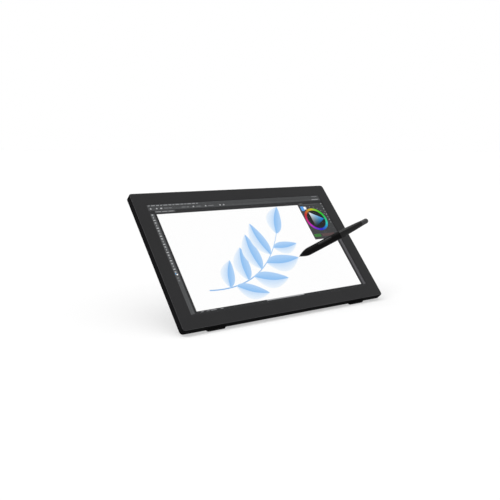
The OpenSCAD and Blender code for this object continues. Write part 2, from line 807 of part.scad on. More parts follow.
// Mounting plate behind the land, with its threaded inserts
module vesa_plate() at_display() color("lightsteelblue") difference() {
    union() {
        translate([-plate_w/2, vesa_y - plate_h/2, z_plate]) cube([plate_w, plate_h, plate_t]);
        for (at = vesa_at) hole(at, plate_ear_r, z_plate, z_plate + plate_t);
        for (x = [-1, 1], y = [-1, 1])
            hole([x*post_x, vesa_y + y*(plate_h/2 - post_inset)], post_r, z_plate + plate_t - EPS, z_chassis);
    }
    for (at = vesa_at) hole(at, insert_r + run_gap, -hump_depth, z_chassis + cut_over);
}
module vesa_inserts() at_display() color("goldenrod") for (at = vesa_at) difference() {
    hole(at, insert_r, -hump_depth, -hump_depth + insert_len);
    hole(at, insert_bore_r, -hump_depth - cut_over, -hump_depth + insert_len + cut_over);
}

// Fasteners
module case_screws() at_display() color("dimgray") for (at = case_screw_at)
    screw(at, z_screw_seat, z_screw_tip, screw_r, screw_head_r, screw_head_h);
module chassis_screws() at_display() color("silver") for (at = chassis_screw_at)
    screw(at, z_chassis, z_screw_tip, screw_r, screw_head_r, screw_head_h);
module board_screws() at_display() color("silver") for (at = board_screw_at)
    screw(at, board_z - pcb_t, z_board_screw_tip, board_screw_r, screw_head_r, screw_head_h);
module hinge_screws() at_display() color("silver") for (at = hinge_screw_at)
    screw(at, z_chassis - bracket_t, z_shield - screw_fit, screw_r, screw_head_r, screw_head_h);

// Hinges
module hinge_place(side) translate([side*arm_x, hinge_y, hinge_z]) children();
module hinge_bracket(side) at_display() color("slategray") difference() {
    union() {
        translate([side*arm_x - ear_out - bracket_foot, hinge_y - bracket_len/2, z_chassis - bracket_t])
            cube([2*(ear_out + bracket_foot), bracket_len, bracket_t]);
        hinge_place(side) for (end = [-1, 1]) {
            along_x(end > 0 ? ear_in : -ear_out, ear_r, ear_t);
            translate([end > 0 ? ear_in : -ear_out, -ear_r, 0])
                cube([ear_t, 2*ear_r, z_chassis - bracket_t/2 - hinge_z]);
        }
    }
    hinge_place(side) along_x(-ear_out - cut_over, pin_r + run_gap, 2*(ear_out + cut_over));
    for (at = hinge_screw_at)
        hole(at, screw_r + screw_fit, z_chassis - bracket_t - cut_over, z_chassis + cut_over);
}
module hinge_bracket_left() hinge_bracket(-1);
module hinge_bracket_right() hinge_bracket(1);

module hinge_pin(side) at_display() color("silver") hinge_place(side) union() {
    along_x(side > 0 ? -ear_out - nut_t : -ear_out - EPS, pin_r, 2*ear_out + nut_t + EPS);
    along_x(side > 0 ? ear_out : -ear_out - pin_head_t, pin_head_r, pin_head_t);
}
module hinge_pin_left() hinge_pin(-1);
module hinge_pin_right() hinge_pin(1);

module friction_washer(x) difference() {
    along_x(x - washer_t/2, washer_r, washer_t);
    along_x(x - washer_t, pin_r + run_gap, 2*washer_t);
}
module friction_washers() at_display() color("goldenrod")
    for (side = [-1, 1], end = [-1, 1])
        hinge_place(side) friction_washer(end*(ear_in - axial_gap - washer_t/2));
module hinge_nuts() at_display() color("silver") for (side = [-1, 1]) hinge_place(side) difference() {
    translate([side > 0 ? -ear_out - nut_t : ear_out, 0, 0])
        rotate([0, 90, 0]) cylinder(r = pin_head_r, h = nut_t, $fn = 6);
    along_x(-2*knuckle_w, pin_r + run_gap, 4*knuckle_w);
}

// Folding leg, drawn hanging down from the hinge line
module leg_plan() difference() {
    union() {
        translate([-leg_w/2, -leg_len + leg_corner_r]) square([leg_w, leg_len - leg_corner_r - neck_len]);
        translate([-leg_w/2 + leg_corner_r, -leg_len]) square([leg_w - 2*leg_corner_r, leg_corner_r + EPS]);
        for (x = [-1, 1]) {
            translate([x*(leg_w/2 - leg_corner_r), -leg_len + leg_corner_r]) circle(leg_corner_r);
            translate([x*arm_x - knuckle_w/2, -neck_len - EPS]) square([knuckle_w, neck_len + EPS]);
        }
    }
    translate([-leg_w/2 + arm_w, -leg_len + bar_h]) square([leg_w - 2*arm_w, leg_len]);
}
module stand_leg() at_leg() color("#2c2d2f") difference() {
    union() {
        slab(-leg_t/2, leg_t/2) leg_plan();
        for (x = [-1, 1]) along_x(x*arm_x - knuckle_w/2, knuckle_r, knuckle_w);
    }
    for (x = [-1, 1]) {
        along_x(x*arm_x - knuckle_w/2 - cut_over, pin_r + run_gap, knuckle_w + 2*cut_over);
        translate([x*pad_x - pad_w/2, -leg_len - cut_over, -leg_t]) difference() {
            cube([pad_w, pad_reach + cut_over, 2*leg_t]);
            translate([-cut_over, cut_over + tongue_end, leg_t - tongue_t/2])
                cube([pad_w + 2*cut_over, pad_reach, tongue_t]);
        }
    }
}
module leg_pad(x) above_desk() at_leg() color("#151515") difference() {
    union() {
        translate([x*pad_x - pad_w/2 + pad_fit, -leg_len, -pad_half_t])
            cube([pad_w - 2*pad_fit, pad_reach - pad_fit, 2*pad_half_t]);
        translate([0, -leg_len, 0]) along_x(x*pad_x - pad_w/2 + pad_fit, pad_half_t, pad_w - 2*pad_fit);
    }
    translate([x*pad_x - pad_w, -leg_len + tongue_end - pad_fit, -tongue_t/2 - pad_fit])
        cube([2*pad_w, pad_reach, tongue_t + 2*pad_fit]);
}
module leg_pad_left() leg_pad(-1);
module leg_pad_right() leg_pad(1);

// Pen, drawn upright on its nib
module turned(points) rotate_extrude() polygon(points);
module pen_nib() at_pen() color("#101010") union() {
    translate([0, 0, nib_r]) sphere(nib_r);
    translate([0, 0, nib_r]) cylinder(r = nib_r, h = nib_end - nib_r);
}
module pen_tip_cone() at_pen() color("#161616") difference() {
    union() {
        turned(concat([[0, cone_start]],
            ogive_points(cone_start, cone_end, cone_steps),
            [[0, cone_end]]));
        translate([0, 0, cone_end - EPS]) cylinder(r = ogive(cone_end) - pen_wall, h = spigot_len);
    }
    translate([0, 0, -cut_over]) cylinder(r = nib_r + nib_fit, h = bore_start + 2*cut_over);
}
module rocker_plan(grow) {
    half = rocker_len/2 - rocker_w/2;
    translate([-half, -rocker_w/2 - grow]) square([2*half, rocker_w + 2*grow]);
    for (end = [-1, 1]) translate([end*half, 0]) circle(rocker_w/2 + grow);
}
module rocker_prism(grow, x_in, x_out) translate([x_in, 0, rocker_z]) rotate([0, -90, 0])
    linear_extrude(x_in - x_out) rocker_plan(grow);
module rocker_pin(r, out) translate([rocker_x, 0, rocker_z]) rotate([90, 0, 0])
    cylinder(r = r, h = rocker_w + 2*out, center = true);

module pen_grip() at_pen() color("#1a1a1a") difference() {
    turned(concat([[0, cone_end]],
        ogive_points(cone_end, grip_shoulder, ogive_steps),
        [[grip_r, rocker_z + rocker_len/2], [barrel_start_r, grip_end], [0, grip_end]]));
    translate([0, 0, cone_end - cut_over])
        cylinder(r = ogive(cone_end) - pen_wall + core_fit, h = spigot_len + spigot_room + 2*cut_over);
    translate([0, 0, bore_start]) cylinder(r = core_r + core_fit, h = grip_end);
    rocker_prism(rocker_gap, 0, -2*grip_r);
    rocker_pin(rocker_pin_r + run_gap, rocker_pin_out + rocker_gap);
}
module pen_barrel() at_pen() color("#2b2b2b") difference() {
    turned(concat([[0, grip_end]],
        [for (i = [0 : barrel_steps]) let (z = grip_end + i*(barrel_end - grip_end)/barrel_steps)
            [barrel_r(z), z]],
        [[0, barrel_end]]));
    turned([
        [0, grip_end - cut_over],
        [barrel_start_r - pen_wall, grip_end - cut_over],
        [barrel_start_r - pen_wall, grip_end],
        [barrel_end_r - spigot_wall, barrel_end],
        [barrel_end_r - spigot_wall, barrel_end + cut_over],
        [0, barrel_end + cut_over]]);
}
module pen_end_cap() at_pen() color("#3a3a3a") union() {
    turned([[0, barrel_end], [barrel_end_r, barrel_end], [tail_r, pen_len - tail_r], [0, pen_len - tail_r]]);
    translate([0, 0, pen_len - tail_r]) sphere(tail_r);
    translate([0, 0, barrel_end - cap_spigot])
        cylinder(r = barrel_end_r - spigot_wall - core_fit, h = cap_spigot + EPS);
}
module pen_rocker() at_pen() color("#242424") difference() {
    union() {
        intersection() {
            rocker_prism(0, -core_r - core_fit - rocker_clear, -2*grip_r);
            cylinder(r = grip_r + rocker_rise, h = pen_len);
        }
        rocker_pin(rocker_pin_r, rocker_pin_out);
    }
    translate([-grip_r - rocker_rise - rocker_notch_out, 0, rocker_z])
        rotate([90, 0, 0]) cylinder(r = rocker_notch_r, h = 2*rocker_w, center = true);
}
module pen_core() at_pen() color("#404040") difference() {
    translate([0, 0, core_start]) cylinder(r = core_r, h = core_len);
    translate([board_x - 2*core_r, -2*core_r, core_start - core_end])
        cube([2*core_r, 4*core_r, core_len]);
}
module pen_coil() at_pen() color("chocolate") translate([0, 0, coil_start]) difference() {
    cylinder(r = core_r - coil_gap, h = coil_len);
    translate([0, 0, -cut_over]) cylinder(r = nib_r + nib_fit, h = coil_len + 2*cut_over);
}
module pen_pressure_sensor() at_pen() color("silver")
    translate([0, 0, sensor_start]) cylinder(r = core_r - coil_gap, h = sensor_len);
module pen_circuit_board() at_pen() color("darkgreen")
    box([board_x - board_t, -pen_board_w/2, core_start + coil_gap],
        [board_x, pen_board_w/2, core_start + core_len - 2*core_end]);

cover_glass();
glass_tape();
lcd_cell();
panel_frame();
diffuser_sheet();
light_guide();
led_strip();
reflector_sheet();
sensor_board();
shield_sheet();
chassis_plate();
front_frame();
rear_cover();
main_board();
driver_board();
source_board();
button_board();
display_ribbon();
sensor_ribbon();
button_ribbon();
hdmi_socket();
usb_sockets();
dc_jack();
power_button();
brightness_up_button();
brightness_down_button();
power_light();
foot_left();
foot_right();
rear_pads();
vesa_plate();
vesa_inserts();
case_screws();
chassis_screws();
board_screws();
hinge_bracket_left();
hinge_bracket_right();
hinge_pin_left();
hinge_pin_right();
friction_washers();
hinge_nuts();
hinge_screws();
stand_leg();
leg_pad_left();
leg_pad_right();
pen_nib();
pen_tip_cone();
pen_grip();
pen_barrel();
pen_end_cap();
pen_rocker();
pen_core();
pen_coil();
pen_pressure_sensor();
pen_circuit_board();
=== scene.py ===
"""Looks of a pen display: a drawing tablet with a lit screen, a folding leg behind it and its pen."""
import colorsys
import json
import math

import bmesh
import bpy
from mathutils import Matrix, Vector

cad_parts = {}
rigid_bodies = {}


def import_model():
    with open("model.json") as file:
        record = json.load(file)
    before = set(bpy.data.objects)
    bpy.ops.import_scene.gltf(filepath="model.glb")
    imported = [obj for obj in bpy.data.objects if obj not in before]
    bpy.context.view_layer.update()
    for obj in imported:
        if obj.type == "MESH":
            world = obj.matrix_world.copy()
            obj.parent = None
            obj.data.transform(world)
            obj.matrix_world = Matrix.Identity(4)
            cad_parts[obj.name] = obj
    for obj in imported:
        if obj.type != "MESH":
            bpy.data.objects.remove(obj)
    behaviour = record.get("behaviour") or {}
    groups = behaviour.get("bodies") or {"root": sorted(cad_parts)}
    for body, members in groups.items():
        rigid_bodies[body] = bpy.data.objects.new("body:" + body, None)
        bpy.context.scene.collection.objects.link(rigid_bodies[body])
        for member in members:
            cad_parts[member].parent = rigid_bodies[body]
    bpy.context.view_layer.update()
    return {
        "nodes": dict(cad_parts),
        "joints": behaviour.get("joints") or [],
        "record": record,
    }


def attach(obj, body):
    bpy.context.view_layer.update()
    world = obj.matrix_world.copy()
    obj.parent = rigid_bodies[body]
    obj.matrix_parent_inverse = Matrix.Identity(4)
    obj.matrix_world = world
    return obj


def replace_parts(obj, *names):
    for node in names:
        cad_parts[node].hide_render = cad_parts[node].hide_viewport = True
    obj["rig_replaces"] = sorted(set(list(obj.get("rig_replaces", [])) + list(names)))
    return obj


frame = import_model()

NODES = frame["nodes"]
RECORD = frame["record"]
JOINTS = {joint["name"]: joint for joint in frame["joints"]}
MOUNTS = {mount["name"]: mount for mount in RECORD["mounts"]}
MM = 0.001
UNMOVED = Matrix.Identity(4)
QUARTER_TURN = math.radians(90)


# Places taken from the frame
def box_along(node, place):
    """Lowest and highest corner of a CAD node, measured along the axes of a place."""
    back = place.inverted()
    points = [back @ corner.co for corner in NODES[node].data.vertices]
    low = Vector([min(point[axis] for point in points) for axis in range(3)])
    high = Vector([max(point[axis] for point in points) for axis in range(3)])
    return low, high


def turned_to(right, up, out):
    """A place at the origin whose own axes are these three directions."""
    return Matrix((right, up, out)).transposed().to_4x4()


# The screen's own axes are right, up along the glass and out of it; its origin is the middle of the glass
RIGHT = Vector((1, 0, 0))
OUT = -Vector(MOUNTS["vesa_100"]["axis"]).normalized()
LEAN = turned_to(RIGHT, OUT.cross(RIGHT), OUT)
glass_low, glass_high = box_along("cover_glass", LEAN)
FACE = LEAN @ Vector(((glass_low.x + glass_high.x) / 2, (glass_low.y + glass_high.y) / 2, glass_high.z))
SCREEN = Matrix.Translation(FACE) @ LEAN
GLASS_W, GLASS_H, GLASS_T = glass_high - glass_low

# The pen's own z runs from its nib to its tail, and its -x side carries the switch
PEN_ALONG = Vector(JOINTS["pen_lift"]["axis"]).normalized()
PEN_ACROSS = Vector(JOINTS["rocker_tilt"]["axis"]).normalized()
PEN_TURN = turned_to(PEN_ACROSS.cross(PEN_ALONG), PEN_ACROSS, PEN_ALONG)
nib_low, nib_high = box_along("pen_nib", PEN_TURN)
NIB_TIP = PEN_TURN @ Vector(((nib_low.x + nib_high.x) / 2, (nib_low.y + nib_high.y) / 2, nib_low.z))
PEN = Matrix.Translation(NIB_TIP) @ PEN_TURN


# Shaping tools
SMOOTH_BELOW = math.radians(50)
LARGE_FACE_WEIGHT = 100


def select_only(piece):
    """Makes a piece the only one selected, and the active one."""
    bpy.ops.object.select_all(action="DESELECT")
    bpy.context.view_layer.objects.active = piece
    piece.select_set(True)


def new_piece(name, primitive, **settings):
    """Adds a primitive by itself, names it and opens it for editing with all of it selected."""
    bpy.ops.object.select_all(action="DESELECT")
    primitive(**settings)
    piece = bpy.context.active_object
    piece.name = name
    piece.data.name = name
    bpy.ops.object.mode_set(mode="EDIT")
    bpy.ops.mesh.select_all(action="SELECT")
    return piece


def pick_edges(piece, test):
    """Selects the edges of the open piece that pass a test."""
    bpy.ops.mesh.select_mode(type="EDGE")
    bpy.ops.mesh.select_all(action="DESELECT")
    mesh = bmesh.from_edit_mesh(piece.data)
    for edge in mesh.edges:
        edge.select_set(test(edge))
    bmesh.update_edit_mesh(piece.data)


def both_ends(edge, test):
    """Whether the places of both corners of an edge pass a test."""
    return all(test(corner.co) for corner in edge.verts)


def face_outwards():
    """Turns every face of the open piece outwards."""
    bpy.ops.mesh.select_all(action="SELECT")
    bpy.ops.mesh.normals_make_consistent(inside=False)


def apply_modifier(piece, kind, **settings):
    """Adds a modifier to the piece and applies it."""
    modifier = piece.modifiers.new(kind.lower(), kind)
    for name, value in settings.items():
        setattr(modifier, name, value)
    bpy.ops.object.modifier_apply(modifier=modifier.name)


def set_down(piece, place):
    """Closes the piece, writes its place into its mesh and smooths all but its sharp edges.

    The normals lean to the larger faces, so flat faces stay flat beside their rounded edges.
    """
    bpy.ops.object.mode_set(mode="OBJECT")
    piece.matrix_world = place
    bpy.ops.object.transform_apply(location=True, rotation=True, scale=True)
    bpy.ops.object.shade_smooth_by_angle(angle=SMOOTH_BELOW)
    apply_modifier(piece, "WEIGHTED_NORMAL", weight=LARGE_FACE_WEIGHT, keep_sharp=True)


def hand_over(piece, body, slot, finishes, *nodes):
    """Gives the piece its finishes and its body, and lets it stand for CAD nodes. The slot is not used."""
    for finish in finishes:
        piece.data.materials.append(finish)
    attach(piece, body)
    if nodes:
        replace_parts(piece, *nodes)


def rounded_plate(name, width, height, radius, steps):
    """A flat plate round the origin with an arc at each corner, open for editing."""
    piece = new_piece(name, bpy.ops.mesh.primitive_plane_add, size=1)
    bpy.ops.transform.resize(value=(width, height, 1))
    bpy.ops.mesh.bevel(offset=radius, segments=steps, affect="VERTICES")
    return piece


def draw_back(depth):
    """Draws the whole open plate back along its z into a closed slab."""
    bpy.ops.mesh.select_all(action="SELECT")
    bpy.ops.mesh.extrude_region_move(TRANSFORM_OT_translate={"value": (0, 0, -depth)})
    face_outwards()


# Finishes
WHITE = "#ffffff"
LOW_DETAIL, MID_DETAIL, HIGH_DETAIL = 2.0, 3.0, 4.0
# Most values of a noise texture lie between these two
NOISE_LOW, NOISE_HIGH = 0.3, 0.7
# Refraction of plastic, and of glass too
CLEAR_IOR = 1.5
# Moulded surfaces: width of their patches in millimetres, stray of their roughness, strength of the grain
MOULD_PATCH, MOULD_STRAY, MOULD_GRAIN = 30, 0.05, 0.5
# Metals: the same, and the grain's depth in millimetres
METAL_PATCH, METAL_STRAY, METAL_GRAIN, METAL_RELIEF = 20, 0.08, 0.3, 0.02
# Lines and spots: how softly they end, how strongly they stand out, and the lines' height in millimetres
SOFT_EDGE, LINE_BUMP, SPOT_BUMP, LINE_RELIEF = 0.1, 0.4, 0.5, 0.05
# Cover glass: width of the etch, drawn coarse enough to show, and of the wiped patches, in millimetres
ETCH, WIPED = 0.8, 90
# Pitch of a board's tracks, and width of the clouds in a milky lens, in millimetres
TRACK_ROW, MILK = 6, 1.2


def from_srgb(parts):
    """Red, green and blue shares of sRGB as the linear colour that a shader reads."""
    return tuple(c / 12.92 if c <= 0.04045 else ((c + 0.055) / 1.055) ** 2.4 for c in parts) + (1.0,)


def srgb(hex_colour):
    """Red, green and blue shares of an sRGB hex value."""
    return [int(hex_colour[start:start + 2], 16) / 255 for start in (1, 3, 5)]


def tint(hex_colour):
    """An sRGB hex value as the linear colour that a shader reads."""
    return from_srgb(srgb(hex_colour))


def per_metre(millimetres):
    """How many features of this size lie along one metre, which is a pattern's scale."""
    return 1000 / millimetres


def new_finish(name):
    """A material with an empty node tree."""
    finish = bpy.data.materials.new(name)
    finish.use_nodes = True
    finish.node_tree.nodes.clear()
    return finish


def add(finish, kind, inputs=None, **settings):
    """Adds a node to a finish; an input is a value, or a (node, output) pair to link."""
    tree = finish.node_tree
    node = tree.nodes.new(kind)
    for name, value in settings.items():
        setattr(node, name, value)
    for name, value in (inputs or {}).items():
        if isinstance(value, tuple) and isinstance(value[0], bpy.types.Node):
            tree.links.new(value[0].outputs[value[1]], node.inputs[name])
        else:
            node.inputs[name].default_value = value
    return node


def moulded(name, colour, worn, roughness, grain, relief, gloss):
    """Moulded plastic or rubber: an even colour that mottles a little, and a fine grain left by the mould.

    grain and relief are the grain's width and depth in millimetres, and gloss is the specular level. A real
    grain is a few hundredths of a millimetre wide, and it is drawn coarser here so that it shows.
    """
    finish = new_finish(name)
    at = add(finish, "ShaderNodeTexCoord")
    fine = add(finish, "ShaderNodeTexNoise", {
        "Vector": (at, "Object"), "Scale": per_metre(grain), "Detail": MID_DETAIL})
    patch = add(finish, "ShaderNodeTexNoise", {
        "Vector": (at, "Object"), "Scale": per_metre(MOULD_PATCH), "Detail": HIGH_DETAIL})
    shade = add(finish, "ShaderNodeMix", {
        "Factor": (patch, "Fac"), "A": tint(colour), "B": tint(worn)}, data_type="RGBA")
    dull = add(finish, "ShaderNodeMapRange", {
        "Value": (patch, "Fac"), "From Min": NOISE_LOW, "From Max": NOISE_HIGH,
        "To Min": roughness - MOULD_STRAY, "To Max": roughness + MOULD_STRAY})
    bump = add(finish, "ShaderNodeBump", {
        "Height": (fine, "Fac"), "Strength": MOULD_GRAIN, "Distance": relief * MM})
    shader = add(finish, "ShaderNodeBsdfPrincipled", {
        "Base Color": (shade, "Result"), "Roughness": (dull, "Result"), "Normal": (bump, "Normal"),
        "IOR": CLEAR_IOR, "Specular IOR Level": gloss})
    add(finish, "ShaderNodeOutputMaterial", {"Surface": (shader, "BSDF")})
    return finish


def metal(name, colour, stain, roughness, grain, stretch=(1, 1, 1)):
    """Bare or anodised metal: grain drawn out along one direction by rolling, turning or brushing.

    grain is its width in millimetres, and stretch how many times longer it is along the screen's own axes.
    Real lines are finer, and they are drawn coarser here so that they show.
    """
    finish = new_finish(name)
    at = add(finish, "ShaderNodeTexCoord")
    turn = add(finish, "ShaderNodeMapping", {
        "Vector": (at, "Object"), "Rotation": LEAN.to_3x3().inverted().to_euler(),
        "Scale": [1 / longer for longer in stretch]})
    lines = add(finish, "ShaderNodeTexNoise", {
        "Vector": (turn, "Vector"), "Scale": per_metre(grain), "Detail": HIGH_DETAIL})
    patch = add(finish, "ShaderNodeTexNoise", {
        "Vector": (at, "Object"), "Scale": per_metre(METAL_PATCH), "Detail": MID_DETAIL})
    shade = add(finish, "ShaderNodeMix", {
        "Factor": (patch, "Fac"), "A": tint(colour), "B": tint(stain)}, data_type="RGBA")
    dull = add(finish, "ShaderNodeMapRange", {
        "Value": (lines, "Fac"), "From Min": NOISE_LOW, "From Max": NOISE_HIGH,
        "To Min": roughness - METAL_STRAY, "To Max": roughness + METAL_STRAY})
    bump = add(finish, "ShaderNodeBump", {
        "Height": (lines, "Fac"), "Strength": METAL_GRAIN, "Distance": METAL_RELIEF * MM})
    shader = add(finish, "ShaderNodeBsdfPrincipled", {
        "Base Color": (shade, "Result"), "Roughness": (dull, "Result"), "Normal": (bump, "Normal"),
        "Metallic": 1.0})
    add(finish, "ShaderNodeOutputMaterial", {"Surface": (shader, "BSDF")})
    return finish


def striped(name, colour, stripe, pitch, share, roughness, metallic=0.0, place=LEAN):
    """Film, board or winding: lines across the place's x, pitch millimetres apart, that cover a share of it.

    Real cells and wires are finer, and they are drawn coarser here so that they show. A wave texture's
    bands lie pi / 10 apart at scale one.
    """
    finish = new_finish(name)
    at = add(finish, "ShaderNodeTexCoord")
    turn = add(finish, "ShaderNodeMapping", {
        "Vector": (at, "Object"), "Rotation": place.to_3x3().inverted().to_euler()})
    waves = add(finish, "ShaderNodeTexWave", {
        "Vector": (turn, "Vector"), "Scale": per_metre(pitch) * math.pi / 10})
    lines = add(finish, "ShaderNodeMapRange", {
        "Value": (waves, "Fac"), "From Min": 1 - share - SOFT_EDGE, "From Max": 1 - share + SOFT_EDGE})
    shade = add(finish, "ShaderNodeMix", {
        "Factor": (lines, "Result"), "A": tint(colour), "B": tint(stripe)}, data_type="RGBA")
    bump = add(finish, "ShaderNodeBump", {
        "Height": (lines, "Result"), "Strength": LINE_BUMP, "Distance": LINE_RELIEF * MM})
    shader = add(finish, "ShaderNodeBsdfPrincipled", {
        "Base Color": (shade, "Result"), "Normal": (bump, "Normal"), "Roughness": roughness,
        "Metallic": metallic})
    add(finish, "ShaderNodeOutputMaterial", {"Surface": (shader, "BSDF")})
    return finish


def celled(name, colour, spot, cell, reach, roughness, relief):
    """Foam, dotted acrylic or film: round spots scattered about cell millimetres apart.

    reach is a spot's radius as a share of cell, and relief is its depth in millimetres. Real pores and
    beads are finer, and they are drawn coarser here so that they show.
    """
    finish = new_finish(name)
    at = add(finish, "ShaderNodeTexCoord")
    cells = add(finish, "ShaderNodeTexVoronoi", {"Vector": (at, "Object"), "Scale": per_metre(cell)})
    spots = add(finish, "ShaderNodeMapRange", {
        "Value": (cells, "Distance"), "From Min": reach, "From Max": reach + SOFT_EDGE})
    shade = add(finish, "ShaderNodeMix", {
        "Factor": (spots, "Result"), "A": tint(spot), "B": tint(colour)}, data_type="RGBA")
    bump = add(finish, "ShaderNodeBump", {
        "Height": (spots, "Result"), "Strength": SPOT_BUMP, "Distance": relief * MM})
    shader = add(finish, "ShaderNodeBsdfPrincipled", {
        "Base Color": (shade, "Result"), "Normal": (bump, "Normal"), "Roughness": roughness})
    add(finish, "ShaderNodeOutputMaterial", {"Surface": (shader, "BSDF")})
    return finish


def circuit_board():
    """Glass-fibre board under green solder mask: copper tracks show as paler raised lines."""
    finish = new_finish("solder_masked_board")
    at = add(finish, "ShaderNodeTexCoord")
    turn = add(finish, "ShaderNodeMapping", {
        "Vector": (at, "Object"), "Rotation": LEAN.to_3x3().inverted().to_euler()})
    tracks = add(finish, "ShaderNodeTexBrick", {
        "Vector": (turn, "Vector"), "Scale": per_metre(TRACK_ROW), "Mortar Size": 0.06, "Brick Width": 1.6,
        "Row Height": 0.35, "Color1": tint("#0f3d25"), "Color2": tint("#134a2d"), "Mortar": tint("#2b7a4c")})
    bump = add(finish, "ShaderNodeBump", {
        "Height": (tracks, "Fac"), "Strength": LINE_BUMP, "Distance": LINE_RELIEF * MM})
    shader = add(finish, "ShaderNodeBsdfPrincipled", {
        "Base Color": (tracks, "Color"), "Normal": (bump, "Normal"), "Roughness": 0.35})
    add(finish, "ShaderNodeOutputMaterial", {"Surface": (shader, "BSDF")})
    return finish


def printed_glass():
    """Etched cover glass over black ink: the etch's grey sheen is painted into the base colour over the
    ink's black, and only a weak real gloss is left on top.
    """
    finish = new_finish("etched_glass_painted_sheen_over_black_ink")
    at = add(finish, "ShaderNodeTexCoord")
    etch = add(finish, "ShaderNodeTexNoise", {
        "Vector": (at, "Object"), "Scale": per_metre(ETCH), "Detail": LOW_DETAIL})
    wipe = add(finish, "ShaderNodeTexNoise", {
        "Vector": (at, "Object"), "Scale": per_metre(WIPED), "Detail": MID_DETAIL})
    dull = add(finish, "ShaderNodeMapRange", {
        "Value": (wipe, "Fac"), "From Min": NOISE_LOW, "From Max": NOISE_HIGH,
        "To Min": 0.36, "To Max": 0.44})
    # Painted sheen: these greys stand for the etch's reflection, while the ink below is black; they vary in
    # random patches
    ink = add(finish, "ShaderNodeMix", {
        "Factor": (wipe, "Fac"), "A": tint("#2f2f30"), "B": tint("#353536")}, data_type="RGBA")
    bump = add(finish, "ShaderNodeBump", {"Height": (etch, "Fac"), "Strength": 0.2, "Distance": 0.02 * MM})
    shader = add(finish, "ShaderNodeBsdfPrincipled", {
        "Base Color": (ink, "Result"), "Roughness": (dull, "Result"), "Normal": (bump, "Normal"),
        "IOR": CLEAR_IOR, "Specular IOR Level": 0.06})
    add(finish, "ShaderNodeOutputMaterial", {"Surface": (shader, "BSDF")})
    return finish


def clear_glass():
    """Etched cover glass with no ink: the picture shows through a thin pale veil."""
    finish = new_finish("clear_etched_glass")
    at = add(finish, "ShaderNodeTexCoord")
    etch = add(finish, "ShaderNodeTexNoise", {
        "Vector": (at, "Object"), "Scale": per_metre(ETCH), "Detail": LOW_DETAIL})
    dull = add(finish, "ShaderNodeMapRange", {"Value": (etch, "Fac"), "To Min": 0.3, "To Max": 0.45})
    shader = add(finish, "ShaderNodeBsdfPrincipled", {
        "Base Color": tint("#c9ccd0"), "Roughness": (dull, "Result"), "IOR": CLEAR_IOR, "Alpha": 0.01})
    add(finish, "ShaderNodeOutputMaterial", {"Surface": (shader, "BSDF")})
    return finish


def lit_pixels():
    """The picture: each corner has its colour in the ink attribute, and the panel lights it from behind."""
    finish = new_finish("lit_pixels")
    ink = add(finish, "ShaderNodeVertexColor", layer_name="ink")
    shader = add(finish, "ShaderNodeBsdfPrincipled", {
        "Base Color": tint("#000000"), "Roughness": 0.5, "Specular IOR Level": 0.0,
        "Emission Color": (ink, "Color"), "Emission Strength": 1.0})
    add(finish, "ShaderNodeOutputMaterial", {"Surface": (shader, "BSDF")})
    return finish


def lit_lens():
    """Milky polycarbonate over a small white lamp, with paler clouds in it."""
    finish = new_finish("lit_polycarbonate_lens")
    at = add(finish, "ShaderNodeTexCoord")
    milk = add(finish, "ShaderNodeTexNoise", {"Vector": (at, "Object"), "Scale": per_metre(MILK)})
    glow = add(finish, "ShaderNodeMix", {
        "Factor": (milk, "Fac"), "A": tint("#8fb8e8"), "B": tint("#e6f2ff")}, data_type="RGBA")
    shader = add(finish, "ShaderNodeBsdfPrincipled", {
        "Base Color": tint("#c8d4de"), "Roughness": 0.25, "Emission Color": (glow, "Result"),
        "Emission Strength": 0.7})
    add(finish, "ShaderNodeOutputMaterial", {"Surface": (shader, "BSDF")})
    return finish


PRINTED_GLASS = printed_glass()
CLEAR_GLASS = clear_glass()
LIT_PIXELS = lit_pixels()
# Polished ABS on the frame's lip: a thin line that is a little lighter than the walls below it; its lighter
# grey base colour is a painted highlight along the edge, and its gloss is real
RIM_POLISH_AND_PAINTED_HIGHLIGHT = moulded("polished_abs_painted_highlight", "#3e3e40", "#444446",
                       roughness=0.3, grain=0.5, relief=0.01, gloss=0.5)
